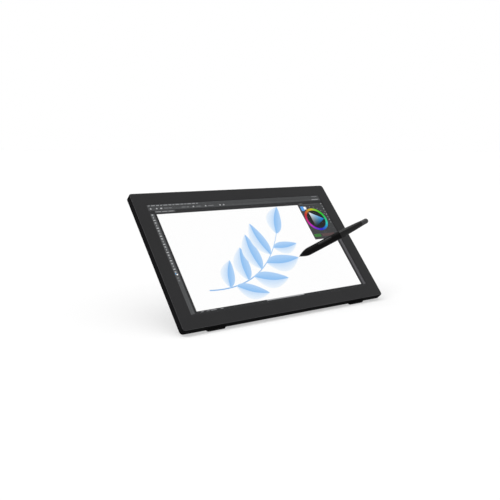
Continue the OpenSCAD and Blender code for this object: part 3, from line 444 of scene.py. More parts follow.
# The finish of each material slot in the record
FINISH = {
    "cover_glass": PRINTED_GLASS,
    # Liquid crystal glass: a smooth dark pane with faint rows of cells
    "display_cell": striped(
        "liquid_crystal_glass", "#15171a", "#24272c", pitch=1.5, share=0.4, roughness=0.15),
    # Die-cut foam tape: dull black, pitted by its open cells
    "foam_tape": celled(
        "black_foam_tape", "#0e0e0e", "#1a1a1a", cell=0.8, reach=0.3, roughness=0.95, relief=0.2),
    # Moulded polycarbonate: a clean white with a soft shine
    "white_plastic": moulded(
        "white_polycarbonate", "#e4e4df", "#dcdcd6", roughness=0.5, grain=1.0, relief=0.02, gloss=0.5),
    # Rolled polyester film: satin white with tiny scattering beads
    "optical_film": celled(
        "white_polyester_film", "#f0f2f4", "#e2e5e8", cell=2.0, reach=0.2, roughness=0.35, relief=0.02),
    # Cast acrylic printed with dots: pale and glossy, spotted white all over
    "light_guide": celled(
        "dotted_clear_acrylic", "#cfdbe2", "#f7fafc", cell=1.5, reach=0.25, roughness=0.08, relief=0.05),
    # Board under white solder mask: yellow lamps at an even pitch
    "led_board": striped(
        "white_lamp_board", "#e8e8e2", "#e9c94f", pitch=8, share=0.3, roughness=0.4),
    "circuit_board": circuit_board(),
    # Rolled and galvanised steel: pale grey with long rolling lines
    "sheet_steel": metal(
        "galvanised_steel_sheet", "#b9bdc1", "#a3a8ad", roughness=0.38, grain=1.2, stretch=(12, 1, 1)),
    # ABS from a spark-eroded mould: near black with hardly any shine
    "frame_plastic": moulded(
        "matte_black_abs", "#131314", "#181819", roughness=0.7, grain=0.5, relief=0.03, gloss=0.01),
    # ABS from an etched mould: dark grey with a grain that catches the light
    "rear_plastic": moulded(
        "grained_black_abs", "#1f1f21", "#262629", roughness=0.55, grain=0.9, relief=0.08, gloss=0.35),
    # ABS from a polished mould: smooth dark keys with a satin shine
    "key_plastic": moulded(
        "satin_black_abs", "#1a1a1b", "#212123", roughness=0.4, grain=0.4, relief=0.02, gloss=0.4),
    # Polyimide film over copper lines: amber with darker stripes
    "ribbon_film": striped(
        "amber_ribbon_film", "#b8742a", "#8a5216", pitch=1.0, share=0.5, roughness=0.3),
    # Folded and nickel-plated steel: bright, a little yellow, drawn one way
    "socket_steel": metal(
        "nickel_plated_steel", "#c9c8c4", "#b5b4b0", roughness=0.25, grain=0.6, stretch=(1, 6, 1)),
    # Moulded nylon: black with a slight shine
    "socket_plastic": moulded(
        "black_nylon", "#101010", "#151515", roughness=0.5, grain=0.4, relief=0.02, gloss=0.4),
    "lens_plastic": lit_lens(),
    # Moulded silicone rubber: deep dull black
    "rubber": moulded(
        "black_silicone_rubber", "#060606", "#0c0c0c", roughness=0.8, grain=0.7, relief=0.06, gloss=0.12),
    # Turned brass: warm yellow with the tool's fine lines
    "insert_brass": metal(
        "turned_brass", "#c9a24e", "#b08a3c", roughness=0.28, grain=0.5, stretch=(1, 1, 8)),
    # Zinc-plated and blackened steel: dark grey with dull glints
    "screw_steel": metal("black_zinc_steel", "#4a4a4c", "#3a3a3c", roughness=0.4, grain=0.5),
    # Stamped and tumbled steel: satin mid grey
    "hinge_steel": metal(
        "satin_hinge_steel", "#8d9094", "#7b7e82", roughness=0.34, grain=0.6, stretch=(6, 1, 1)),
    # Sintered bronze: brown and a little porous
    "washer_bronze": metal("sintered_bronze", "#a97c3c", "#8f672f", roughness=0.45, grain=0.4),
    # Blasted and anodised aluminium: an even dark grey with a silky sheen
    "leg_aluminium": metal("anodised_aluminium", "#3d3e41", "#343538", roughness=0.48, grain=0.6),
    # Turned acetal: a smooth black point
    "nib_plastic": moulded(
        "black_acetal", "#121212", "#181818", roughness=0.45, grain=0.4, relief=0.01, gloss=0.5),
    # ABS from a polished mould: black with a streak of light along the barrel
    "pen_plastic": moulded(
        "satin_pen_abs", "#060607", "#0a0a0b", roughness=0.25, grain=0.5, relief=0.02, gloss=0.22),
    # Soft-touch rubber: black with a weak sheen
    "pen_rubber": moulded(
        "soft_touch_rubber", "#030303", "#070707", roughness=0.5, grain=0.5, relief=0.03, gloss=0.07),
    # Grey ABS: a tail some shades lighter than the barrel
    "pen_cap_plastic": moulded(
        "grey_pen_abs", "#2b2b2d", "#333335", roughness=0.3, grain=0.5, relief=0.02, gloss=0.4),
    # Enamelled copper wire: close bright windings along the pen
    "copper_coil": striped(
        "enamelled_copper_wire", "#8a3f1c", "#d98b52", pitch=0.7, share=0.6, roughness=0.3, metallic=1.0,
        place=PEN_TURN @ Matrix.Rotation(QUARTER_TURN, 4, "Y")),
}


# Cover glass
GLASS_R = 5.1 * MM
GLASS_EDGE = 0.25 * MM
CORNER_STEPS = 10
EDGE_STEPS = 2
PICTURE_W = 478 * MM
PICTURE_H = 268.1 * MM
PICTURE_UP = -0.35 * MM
# Smaller than any shape of the part
SLACK = 0.01 * MM


def inside_by(at, half_w, half_h, radius):
    """How far a corner lies inside the outline of a plate with rounded corners."""
    over_x = abs(at.x) - (half_w - radius)
    over_y = abs(at.y) - (half_h - radius)
    if over_x > 0 and over_y > 0:
        return radius - math.hypot(over_x, over_y)
    return radius - max(over_x, over_y)


def cover_glass():
    """The pane over the whole front: clear over the picture, and black printed outside it."""
    piece = rounded_plate("cover_glass_pane", GLASS_W, GLASS_H, GLASS_R, CORNER_STEPS)
    cuts = [((side * PICTURE_W / 2, 0, 0), RIGHT) for side in (-1, 1)]
    cuts += [((0, PICTURE_UP + side * PICTURE_H / 2, 0), Vector((0, 1, 0))) for side in (-1, 1)]
    for place, across in cuts:
        bpy.ops.mesh.select_all(action="SELECT")
        bpy.ops.mesh.bisect(plane_co=place, plane_no=across)
    draw_back(GLASS_T)

    def at_front_edge(at):
        return at.z > -SLACK and inside_by(at, GLASS_W / 2, GLASS_H / 2, GLASS_R) < SLACK

    pick_edges(piece, lambda edge: both_ends(edge, at_front_edge))
    bpy.ops.mesh.bevel(offset=GLASS_EDGE, segments=EDGE_STEPS)
    bpy.ops.object.mode_set(mode="OBJECT")
    for face in piece.data.polygons:
        clear_x = abs(face.center.x) < PICTURE_W / 2
        clear_y = abs(face.center.y - PICTURE_UP) < PICTURE_H / 2
        face.material_index = 1 if clear_x and clear_y else 0
    set_down(piece, SCREEN)
    hand_over(piece, "display", "cover_glass", [PRINTED_GLASS, CLEAR_GLASS], "cover_glass")


# Shells and other rigid pieces that keep their solid's shape and get rounded edges
MERGE = 0.002 * MM
FINE_MERGE = MERGE / 4
FLAT = math.radians(0.5)
SHARP = math.radians(32)
CASING_SHARP = math.radians(20)
FRAME_HALF_W, FRAME_HALF_H, _ = box_along("front_frame", SCREEN)[1]
CASING_R = 7 * MM
# The front frame's lip: its reach inwards, how deep it goes and how deep its polish and painted highlight
# reach; then the lower edge
LIP_IN, LIP_LOW, LIP_POLISH_AND_HIGHLIGHT = 2.6 * MM, -1.3 * MM, -0.3 * MM
FRAME_LOW = -8.9 * MM
# The rear cover's back face, the chamfer round it and the side wall
COVER_BACK, COVER_FLAT = -16 * MM, 0.1 * MM
COVER_CHAMFER, COVER_WALL = 1.6 * MM, 1.8 * MM
# Rounds on the edges
FRAME_ROUND, COVER_ROUND, LEG_ROUND = 0.2 * MM, 0.4 * MM, 0.6 * MM
FOOT_ROUND, PAD_ROUND, KEY_ROUND, SWITCH_ROUND = 0.5 * MM, 0.3 * MM, 0.25 * MM, 0.3 * MM


def softened(node, name, body, slot, width, place=UNMOVED, test=None, angle=SHARP):
    """A copy of a node's solid with its sharp edges rounded, which stands for that node.

    test takes a corner in the place's own axes, and picks the edges to round; without it all of them are.
    """
    piece = bpy.data.objects.new(name, NODES[node].data.copy())
    piece.data.name = name
    bpy.context.scene.collection.objects.link(piece)
    select_only(piece)
    bpy.ops.object.mode_set(mode="EDIT")
    bpy.ops.mesh.select_all(action="SELECT")
    bpy.ops.mesh.remove_doubles(threshold=MERGE)
    bpy.ops.mesh.dissolve_limited(angle_limit=FLAT)
    back = place.inverted()

    def to_round(edge):
        sharp = len(edge.link_faces) == 2 and edge.calc_face_angle() > angle
        return sharp and (test is None or both_ends(edge, lambda at: test(back @ at)))

    pick_edges(piece, to_round)
    bpy.ops.mesh.bevel(offset=width, segments=EDGE_STEPS, clamp_overlap=True)
    bpy.ops.mesh.select_all(action="SELECT")
    bpy.ops.mesh.remove_doubles(threshold=FINE_MERGE)
    set_down(piece, UNMOVED)
    piece.data.materials.clear()
    hand_over(piece, body, slot, [FINISH[slot]], node)
    return piece


def trim(piece, finish, place, test):
    """Gives a second finish to the faces whose corners all pass a test in the place's own axes."""
    back = place.inverted()
    piece.data.materials.append(finish)
    for face in piece.data.polygons:
        corners = [back @ piece.data.vertices[corner].co for corner in face.vertices]
        if all(test(corner) for corner in corners):
            face.material_index = len(piece.data.materials) - 1


def at_rim(at, inset):
    """Whether a corner lies within an inset of the casing's outline."""
    return inside_by(at, FRAME_HALF_W, FRAME_HALF_H, CASING_R) < inset


def on_frame_rim(at):
    """Whether a corner of the front frame lies on its lip or its lower outer edge."""
    return at_rim(at, LIP_IN) and (at.z > LIP_LOW or at.z < FRAME_LOW)


def on_cover_back(at):
    """Whether a corner of the rear cover lies on its back or on the chamfer round it."""
    on_chamfer = at_rim(at, COVER_CHAMFER) and at.z < COVER_BACK + COVER_CHAMFER
    return on_chamfer or at.z < COVER_BACK + COVER_FLAT


def shells():
    """The casing, leg, feet, pads, keys and pen switch, with the small rounds that their moulds leave."""
    casing = softened("front_frame", "front_frame_shell", "display", "frame_plastic", FRAME_ROUND,
                      SCREEN, on_frame_rim, CASING_SHARP)
    # The lip's front faces get the lighter rim finish: a painted highlight line along the casing's front
    # edge
    trim(casing, RIM_POLISH_AND_PAINTED_HIGHLIGHT, SCREEN, lambda at: at_rim(at, LIP_IN) and at.z > LIP_POLISH_AND_HIGHLIGHT)
    back = softened("rear_cover", "rear_cover_shell", "display", "rear_plastic", COVER_ROUND,
                    SCREEN, on_cover_back, CASING_SHARP)
    trim(back, FINISH["frame_plastic"], SCREEN, lambda at: at_rim(at, COVER_WALL))
    softened("stand_leg", "stand_leg_plate", "leg", "leg_aluminium", LEG_ROUND)
    for side in ("left", "right"):
        softened("foot_" + side, "foot_" + side + "_block", "display", "rubber", FOOT_ROUND)
        softened("leg_pad_" + side, "leg_pad_" + side + "_sleeve", "leg", "rubber", FOOT_ROUND)
    softened("rear_pads", "rear_pads_round", "display", "rubber", PAD_ROUND)
    for key in ("power", "brightness_up", "brightness_down"):
        softened(key + "_button", key + "_key_cap", key + "_key", "key_plastic", KEY_ROUND)
    softened("pen_rocker", "pen_rocker_cap", "rocker", "pen_plastic", SWITCH_ROUND)


def finish_solids():
    """Gives every solid that no piece stands for the finish of its slot."""
    replaced = {name for piece in bpy.data.objects for name in piece.get("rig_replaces", [])}
    for part in RECORD["subparts"]:
        if part["node"] not in replaced:
            for slot in NODES[part["node"]].material_slots:
                slot.material = FINISH[part["material_slot"]]


# Picture on the screen: each plate is (x, y, width, height, colour), in millimetres round the glass's middle
LAYER = 0.03 * MM
CELL_FRONT = box_along("lcd_cell", SCREEN)[1].z
# Levels of the picture, counted in layers out from the cell
GROUND_LEVEL, PANEL_LEVEL, STEM_LEVEL, MARK_LEVEL, SHADE_LEVEL = 1, 2, 3, 4, 5
BRIGHT, PALE, SOFT, DIM = "#b9babc", "#9c9d9f", "#7b7c7e", "#5f6062"
# The ground reaches a little past the clear window
GROUND = (0, PICTURE_UP / MM, PICTURE_W / MM + 1, PICTURE_H / MM + 1, "#303031")
PAGE_LEFT, PAGE_RIGHT, PAGE_WIDE_RIGHT = -223.5, 158.3, 224
PAGE_TOP, PAGE_STEP, PAGE_LOW = 107.7, 6, -126.6
TAB_Y, TOOL_X, ICON_X = 114.2, -233.9, 234
PANELS = {
    "menu_bar": (0, 129.6, 478, 8, "#494a4b"),
    "option_bar": (0, 121.6, 478, 7, "#4c4d4e"),
    "tab": (-201, TAB_Y, 48, 5, "#555657"),
    "tool_bar": (TOOL_X, -11, 10.2, 240, "#515253"),
    "colour_panel": (198.05, 58, 79.5, 103, "#424344"),
    "icon_bar": (ICON_X, -61.5, 7.6, 133, "#565558"),
    "page_upper": ((PAGE_LEFT + PAGE_RIGHT) / 2, (PAGE_TOP + PAGE_STEP) / 2,
                   PAGE_RIGHT - PAGE_LEFT, PAGE_TOP - PAGE_STEP, WHITE),
    "page_lower": ((PAGE_LEFT + PAGE_WIDE_RIGHT) / 2, (PAGE_STEP + PAGE_LOW) / 2,
                   PAGE_WIDE_RIGHT - PAGE_LEFT, PAGE_STEP - PAGE_LOW, WHITE),
}
# Menu words: where the first one starts, their height on the screen, number, gap, and widths in turn
MENU_LEFT, MENU_Y, MENU_WORDS, MENU_GAP = -236, 130.5, 13, 2.8
MENU_WIDTHS = (4.5, 9.5, 7)
# Marks in the option bar and below the page: each one's left end and width; the wide ones stand for words
OPTION_Y, STATUS_Y = 122.5, -129
OPTIONS = ((-233.5, 3), (-219.3, 3), (-209.5, 4.6), (-200, 9), (-189.5, 7.5), (-158, 10), (-145, 5.2),
           (-129.8, 3), (-121, 11.5), (-98.4, 3), (-90.5, 14.5), (-60.5, 3.2), (-50.8, 3))
STATUS = ((-215, 6), (-201.5, 6), (-191.8, 13), (-169.3, 7))
WORD_FROM, WORD_H, ICON_H, THIN_H = 5, 1.7, 3, 1.2
# Tool icons: the first one's height on the screen, their pitch and number, and (width, height, ink) in turn
TOOL_TOP, TOOL_PITCH, TOOLS = 106.7, 6.7, 22
TOOL_ICONS = ((3.6, 3.4, "#a8a9ab"), (2.2, 4.2, "#9a9b9d"), (4.4, 2, "#c6c7c9"))
# Small corner mark at each tool icon: right of it, below it, and its size
CORNER_RIGHT, CORNER_BELOW, CORNER_SIZE = 2.6, 1.8, 1.4
LABELS = {
    "window_title": (223.5, 130.6, 17, 1.6, SOFT),
    "window_state": (222, 121.8, 21, 2, PALE),
    "panel_title": (169, 110.6, 11, 1.4, SOFT),
}
FIELDS = {
    "tool_back_colour": (TOOL_X + 1.4, -40.2, 3, 3.2, WHITE),
    "tool_front_colour": (TOOL_X - 1.3, -38, 2.4, 3, "#6aa6d8"),
    "scroll_bar": (-2, -127.9, 101, 2.6, "#a4a5a7"),
    "back_colour": (176.5, 97.5, 7, 8, WHITE),
    "front_colour": (168.2, 96.5, 9.6, 13, "#5d9fe2"),
    "green_field": (172, 17, 20, 8, "#3f7d3a"),
    "brown_field": (206, 17, 40, 8, "#5b4a4a"),
    "panel_line": (198, 108, 50, THIN_H, DIM),
}
# Colour picker: its middle, the ring of hues, the triangle of shades, and the dots round them in degrees
PICKER_X, PICKER_Y = 193.5, 63
HUE_INNER, HUE_OUTER, HUE_STEPS = 26.5 * MM, 32.5 * MM, 72
HUE_START, HUE_DEPTH, HUE_LIGHT, HUE_GROUND = 0.42, 0.78, 0.77, "#232324"
SHADE_STEPS, SHADE_REACH, SHADE_TURN = 12, 25 * MM, math.radians(30)
# Each tip of the triangle: its direction from the middle in degrees, and its colour
SHADE_TIPS = {120: WHITE, 240: "#1c1d22", 0: "#1482d2"}
DOTS, DOT_FIRST, DOT_STEP, DOT_REACH, DOT_SIZE = 6, 108, 17, 37.5, 1.8


def ink_in(piece, colour_at):
    """Fills the ink attribute of a closed piece: colour_at takes a face's number and a corner's place."""
    ink = piece.data.color_attributes.new("ink", "FLOAT_COLOR", "CORNER")
    for face in piece.data.polygons:
        for loop in face.loop_indices:
            corner = piece.data.vertices[piece.data.loops[loop].vertex_index].co
            ink.data[loop].color = colour_at(face.index, corner)


def lay_in_picture(piece, level):
    """Gives a flat painted piece its thickness and lays it on the panel at a level of the picture."""
    apply_modifier(piece, "SOLIDIFY", thickness=LAYER / 2, offset=-1)
    set_down(piece, SCREEN @ Matrix.Translation((0, 0, CELL_FRONT + level * LAYER)))
    hand_over(piece, "display", "display_cell", [LIT_PIXELS])


def plates(name, level, specs):
    """Flat plates in one piece, each of one colour."""
    piece = new_piece(name, bpy.ops.mesh.primitive_plane_add, size=1)
    for number, (x, y, width, height, _) in enumerate(specs):
        if number:
            bpy.ops.mesh.primitive_plane_add(size=1)
        bpy.ops.transform.resize(value=(width * MM, height * MM, 1), center_override=(0, 0, 0))
        bpy.ops.transform.translate(value=(x * MM, y * MM, 0))
    bpy.ops.object.mode_set(mode="OBJECT")
    ink_in(piece, lambda face, corner: tint(specs[face][4]))
    lay_in_picture(piece, level)


def mark_row(first, step, count, size, inks):
    """Plates of one size in a row or column, with their inks in turn."""
    return [(first[0] + step[0] * number, first[1] + step[1] * number, *size, inks[number % len(inks)])
            for number in range(count)]


def window_panels():
    """The drawing program's bars, side panels and white page."""
    plates("picture_ground", GROUND_LEVEL, [GROUND])
    plates("picture_panels", PANEL_LEVEL, list(PANELS.values()))


def window_marks():
    """Small unlettered marks: menu dashes, option bars, tool icons, swatches and dots."""
    specs = []
    left = MENU_LEFT
    for number in range(MENU_WORDS):
        width = MENU_WIDTHS[number % len(MENU_WIDTHS)]
        specs.append((left + width / 2, MENU_Y, width, WORD_H, PALE))
        left += width + MENU_GAP
    for left, width in OPTIONS:
        height, ink = (WORD_H, SOFT) if width > WORD_FROM else (ICON_H, BRIGHT)
        specs.append((left + width / 2, OPTION_Y, width, height, ink))
    specs += mark_row(first=(-217, TAB_Y), step=(15, 0), count=3, size=(12, THIN_H), inks=[PALE])
    specs += LABELS.values()
    for number in range(TOOLS):
        y = TOOL_TOP - TOOL_PITCH * number
        specs.append((TOOL_X, y, *TOOL_ICONS[number % len(TOOL_ICONS)]))
        specs.append((TOOL_X + CORNER_RIGHT, y - CORNER_BELOW, CORNER_SIZE, CORNER_SIZE, DIM))
    specs += mark_row(first=(TOOL_X, -48.2), step=(0, -6.1), count=2, size=(3.6, ICON_H), inks=[SOFT])
    specs += mark_row(first=(ICON_X, 108), step=(0, -8.1), count=8, size=(2.6, ICON_H), inks=[PALE, SOFT])
    for left, width in STATUS:
        specs.append((left + width / 2, STATUS_Y, width, THIN_H, PALE))
    specs += FIELDS.values()
    for number in range(DOTS):
        turn = math.radians(DOT_FIRST - DOT_STEP * number)
        specs.append((PICKER_X + DOT_REACH * math.cos(turn), PICKER_Y + DOT_REACH * math.sin(turn),
                      DOT_SIZE, DOT_SIZE, PALE))
    plates("picture_marks", MARK_LEVEL, specs)


def move_to_picker(piece):
    """Moves a closed piece from the origin to the middle of the colour picker."""
    piece.location = (PICKER_X * MM, PICKER_Y * MM, 0)
    bpy.ops.object.transform_apply(location=True)


def hue_ring():
    """The colour picker's ring of hues round its dark ground."""
    piece = new_piece("picture_hue_ring", bpy.ops.mesh.primitive_circle_add, vertices=HUE_STEPS,
                      radius=HUE_OUTER, fill_type="NGON")
    bpy.ops.mesh.inset(thickness=HUE_OUTER - HUE_INNER)
    bpy.ops.object.mode_set(mode="OBJECT")

    def hue_at(face, corner):
        if piece.data.polygons[face].center.length < HUE_INNER / 2:
            return tint(HUE_GROUND)
        turn = HUE_START - math.atan2(corner.y, corner.x) / math.tau
        return from_srgb(colorsys.hsv_to_rgb(turn % 1, HUE_DEPTH, HUE_LIGHT))

    ink_in(piece, hue_at)
    move_to_picker(piece)
    lay_in_picture(piece, MARK_LEVEL)


def shade_triangle():
    """The colour picker's triangle, from white and black to one full blue."""
    piece = new_piece("picture_shade_triangle", bpy.ops.mesh.primitive_circle_add, vertices=3,
                      radius=SHADE_REACH, fill_type="NGON")
    bpy.ops.mesh.subdivide(number_cuts=SHADE_STEPS)
    bpy.ops.object.mode_set(mode="OBJECT")
    piece.rotation_euler.z = SHADE_TURN
    bpy.ops.object.transform_apply(rotation=True)
    tips = [Vector((math.cos(math.radians(turn)), math.sin(math.radians(turn)))) for turn in SHADE_TIPS]
    shades = [Vector(srgb(colour)) for colour in SHADE_TIPS.values()]

    def shade_at(face, corner):
        flat = Vector((corner.x, corner.y)) / SHADE_REACH
        shares = [max(1 + 2 * flat.dot(tip), 0) / 3 for tip in tips]
        mixed = sum((shade * share for shade, share in zip(shades, shares)), Vector((0, 0, 0)))
        return from_srgb([min(part, 1) for part in mixed])

    ink_in(piece, shade_at)
    move_to_picker(piece)
    lay_in_picture(piece, SHADE_LEVEL)


# Sprig on the page; a leaf's own sizes are shares of its length
LEAF_STEPS, LEAF_ACROSS = 26, 10
LEAF_WIDTH, LEAF_BEND = 0.23, 0.08
LEAF_POINT, LEAF_FULLNESS, LEAF_BASE, LEAF_TAPER = 0.002, 0.85, 1.25, 0.5
LEAF_DEEP, LEAF_MID, LEAF_PALE, LEAF_FAINT = "#8dbff2", "#b3d5f8", "#c6dffa", "#eef6fe"
# Leaves lie a little above each other, so that where two cross one is in front
LEAF_LIFT = LAYER / 8
# The stem's curve runs from its foot past a bend to its tip
STEM = [Vector(point) * MM for point in ((-176, -86, 0), (-32, -102, 0), (58, 38, 0))]
STEM_WIDTH, STEM_STUB, STEM_STEPS = 2.6 * MM, 0.2 * MM, 24
STEM_FOOT, STEM_TIP = "#7fb2e6", "#a9cff4"
HEADING_STEP = 0.01
# Each leaf: its share of the way up the stem, its turn off it in degrees, and its length in millimetres
LEAVES = ((0.18, 62, 70), (0.24, -30, 78), (0.38, 60, 84), (0.45, -34, 88), (0.57, 58, 92), (0.66, -37, 93),
          (0.76, 56, 88), (0.84, -46, 70), (0.98, 6, 84))


def stem_at(share):
    """A point on the stem's curve, from its foot to its tip."""
    foot, bend, tip = STEM
    return foot * (1 - share) ** 2 + bend * 2 * share * (1 - share) + tip * share ** 2


def leaf_rib(along):
    """How far the leaf's rib bows to one side, at a share of its length."""
    return LEAF_BEND * math.sin(math.pi * along)


def leaf_reach(along):
    """Half of the leaf's width at a share of its length: full near the stem, drawn out to a point."""
    fullness = max(4 * along * (1 - along), LEAF_POINT) ** LEAF_FULLNESS
    return LEAF_WIDTH * fullness * (LEAF_BASE - LEAF_TAPER * along)


def leaf_shape():
    """One leaf of unit length along x, deep on one side of its rib and paling across the other."""
    piece = new_piece("picture_leaf", bpy.ops.mesh.primitive_grid_add, x_subdivisions=LEAF_STEPS,
                      y_subdivisions=LEAF_ACROSS, size=1)
    bpy.ops.transform.translate(value=(0.5, 0, 0))
    mesh = bmesh.from_edit_mesh(piece.data)
    for corner in mesh.verts:
        along = min(max(corner.co.x, 0), 1)
        corner.co.y = 2 * corner.co.y * leaf_reach(along) + leaf_rib(along)
    bmesh.update_edit_mesh(piece.data)
    bpy.ops.object.mode_set(mode="OBJECT")
    deep, mid, pale, faint = (Vector(tint(ink)) for ink in (LEAF_DEEP, LEAF_MID, LEAF_PALE, LEAF_FAINT))

    def leaf_colour(face, corner):
        along = min(max(corner.x, 0), 1)
        middle = piece.data.polygons[face].center
        across = min(abs(corner.y - leaf_rib(along)) / leaf_reach(along), 1)
        if middle.y < leaf_rib(middle.x):
            return tuple(deep.lerp(mid, across))
        return tuple(pale.lerp(faint, across))

    ink_in(piece, leaf_colour)
    return piece


def sprig():
    """A sprig of soft blue leaves across the page, each a copy of one leaf."""
    leaf = leaf_shape()
    copies = []
    for number, (share, turn, length) in enumerate(LEAVES):
        along = stem_at(share + HEADING_STEP) - stem_at(share)
        heading = math.atan2(along.y, along.x) + math.radians(turn)
        copy = leaf.copy()
        copy.data = leaf.data.copy()
        bpy.context.scene.collection.objects.link(copy)
        flip = -1 if turn < 0 else 1
        copy.matrix_world = (Matrix.Translation(stem_at(share) + Vector((0, 0, number * LEAF_LIFT)))
                             @ Matrix.Rotation(heading, 4, "Z")
                             @ Matrix.Diagonal((length * MM, flip * length * MM, 1, 1)))
        copies.append(copy)
    bpy.data.objects.remove(leaf)
    select_only(copies[0])
    for copy in copies:
        copy.select_set(True)
    bpy.ops.object.transform_apply(location=True, rotation=True, scale=True)
    bpy.ops.object.join()
    piece = bpy.context.active_object
    piece.name = "picture_leaves"
    for face in piece.data.polygons:
        if face.normal.z < 0:
            face.flip()
    lay_in_picture(piece, MARK_LEVEL)


def stem():
    """The sprig's thin stem, drawn out step by step along its curve."""
    piece = new_piece("picture_stem", bpy.ops.mesh.primitive_plane_add, size=1)
    bpy.ops.transform.resize(value=(STEM_STUB, STEM_WIDTH, 1))
    bpy.ops.transform.translate(value=stem_at(0))
    pick_edges(piece, lambda edge: both_ends(edge, lambda at: at.x > stem_at(0).x))
    for step in range(STEM_STEPS):
        bpy.ops.mesh.extrude_region_move(
            TRANSFORM_OT_translate={"value": stem_at((step + 1) / STEM_STEPS) - stem_at(step / STEM_STEPS)})
    face_outwards()
    bpy.ops.object.mode_set(mode="OBJECT")
    if piece.data.polygons[0].normal.z < 0:
        piece.data.flip_normals()
    foot, tip = Vector(tint(STEM_FOOT)), Vector(tint(STEM_TIP))
    ink_in(piece, lambda face, corner: tuple(foot.lerp(tip, min(face / STEM_STEPS, 1))))
    lay_in_picture(piece, STEM_LEVEL)


# Pen: heights are measured from the nib's tip
PEN_SIDES = 48
CONE_START, CONE_END, CONE_TIP_R = 2.4 * MM, 10 * MM, 1.8 * MM
SHOULDER, GRIP_FULL, GRIP_WANING, GRIP_NECK = 26 * MM, 30 * MM, 85 * MM, 87 * MM
GRIP_R = -box_along("pen_grip", PEN)[0].x
GRIP_END = box_along("pen_grip", PEN)[1].z
BARREL_R, _, BARREL_END = box_along("pen_barrel", PEN)[1]
CAP_R, _, PEN_END = box_along("pen_end_cap", PEN)[1]
TAIL_R = CAP_R - 0.2 * MM
TAIL_OPEN = math.radians(86)
# How a radius goes over to the next one: slowly at first
TAPER, NECK_SHARE = 1.5, 0.1
ROCKER_AT, ROCKER_L, ROCKER_W, ROCKER_GAP = 68 * MM, 34 * MM, 5.6 * MM, 0.3 * MM
PEN_WALL, BARREL_WALL = 1.4 * MM, 1.2 * MM
NIB_BORE, CORE_BORE, FRONT_BORE_L = 0.95 * MM, 4.75 * MM, 8 * MM
SEAM = 0.25 * MM
CONE_STEPS, NOSE_STEPS, GRIP_STEPS, NECK_STEPS = 10, 18, 12, 6
BARREL_STEPS, DOME_STEPS, POCKET_STEPS = 12, 10, 12


def nose_r(height):
    """The pen's radius at a height between its tip and its full width."""
    rise = QUARTER_TURN * (height - CONE_START) / (SHOULDER - CONE_START)
    return CONE_TIP_R + (GRIP_R - CONE_TIP_R) * math.sin(rise)


def turned(name, rings):
    """A round hollow piece drawn up from (height, radius) rings, the last one joined to the first.

    It is left open for editing.
    """
    height, radius = rings[0]
    piece = new_piece(name, bpy.ops.mesh.primitive_circle_add, vertices=PEN_SIDES, radius=radius)
    bpy.ops.transform.translate(value=(0, 0, height))
    for next_height, next_radius in rings[1:]:
        bpy.ops.mesh.extrude_region_move(TRANSFORM_OT_translate={"value": (0, 0, next_height - height)})
        bpy.ops.transform.resize(value=(next_radius / radius, next_radius / radius, 1),
                                 center_override=(0, 0, next_height))
        height, radius = next_height, next_radius
    pick_edges(piece, lambda edge: len(edge.link_faces) == 1)
    bpy.ops.mesh.bridge_edge_loops()
    face_outwards()
    return piece


def rounded_ends(rings):
    """Rings with a small step in at each end, so that the seam to the next piece shows as a fine groove."""
    (low, low_r), (high, high_r) = rings[0], rings[-1]
    start = [(low, low_r - SEAM), (low + SEAM, low_r)]
    end = [(high - SEAM, high_r), (high, high_r - SEAM)]
    return start + rings[1:-1] + end


def spread(low, high, steps):
    """Evenly spaced heights from one to another, both included."""
    return [low + (high - low) * step / steps for step in range(steps + 1)]


def tapered(low, high, low_r, high_r, steps, share=0):
    """Rings between two heights whose radius goes from one to another, from a share of the way on."""
    return [(height, low_r + (high_r - low_r) * done ** TAPER)
            for height, done in zip(spread(low, high, steps), spread(share, 1, steps))]


def fit_to_pen(piece, slot, node):
    """Sets a piece down on the pen, where it stands for a CAD node."""
    set_down(piece, PEN)
    hand_over(piece, "pen", slot, [FINISH[slot]], node)


def pen_tip():
    """The cone that guides the nib."""
    nose = [(height, nose_r(height)) for height in spread(CONE_START, CONE_END, CONE_STEPS)]
    rings = [(CONE_START, NIB_BORE)] + rounded_ends(nose) + [(CONE_END, NIB_BORE)]
    fit_to_pen(turned("pen_nose", rings), "pen_plastic", "pen_tip_cone")


def pen_grip():
    """The soft grip, with the pocket for the switch."""
    outside = [(height, nose_r(height)) for height in spread(CONE_END, SHOULDER, NOSE_STEPS)]
    outside += [(height, GRIP_R) for height in spread(GRIP_FULL, GRIP_WANING, GRIP_STEPS)]
    outside += tapered(GRIP_NECK, GRIP_END, GRIP_R, BARREL_R, NECK_STEPS, NECK_SHARE)
    rings = rounded_ends(outside)
    front_bore = nose_r(CONE_END) - PEN_WALL
    step_at = CONE_END + FRONT_BORE_L
    rings += [(GRIP_END, CORE_BORE), (step_at, CORE_BORE), (step_at, front_bore), (CONE_END, front_bore)]
    piece = turned("pen_grip_sleeve", rings)
    bpy.ops.object.mode_set(mode="OBJECT")
    cutter = rounded_plate("pen_switch_pocket", ROCKER_L + 2 * ROCKER_GAP, ROCKER_W + 2 * ROCKER_GAP,
                           ROCKER_W / 2 + ROCKER_GAP - SLACK, POCKET_STEPS)
    draw_back(2 * GRIP_R)
    set_down(cutter, Matrix.Translation((0, 0, ROCKER_AT)) @ Matrix.Rotation(QUARTER_TURN, 4, "Y"))
    select_only(piece)
    apply_modifier(piece, "BOOLEAN", object=cutter, operation="DIFFERENCE", solver="EXACT")
    bpy.data.objects.remove(cutter)
    fit_to_pen(piece, "pen_rubber", "pen_grip")


def pen_barrel():
    """The tapered barrel behind the grip."""
    rings = rounded_ends(tapered(GRIP_END, BARREL_END, BARREL_R, CAP_R, BARREL_STEPS))
    rings += [(BARREL_END, CAP_R - BARREL_WALL), (GRIP_END, BARREL_R - PEN_WALL)]
    fit_to_pen(turned("pen_barrel_sleeve", rings), "pen_plastic", "pen_barrel")


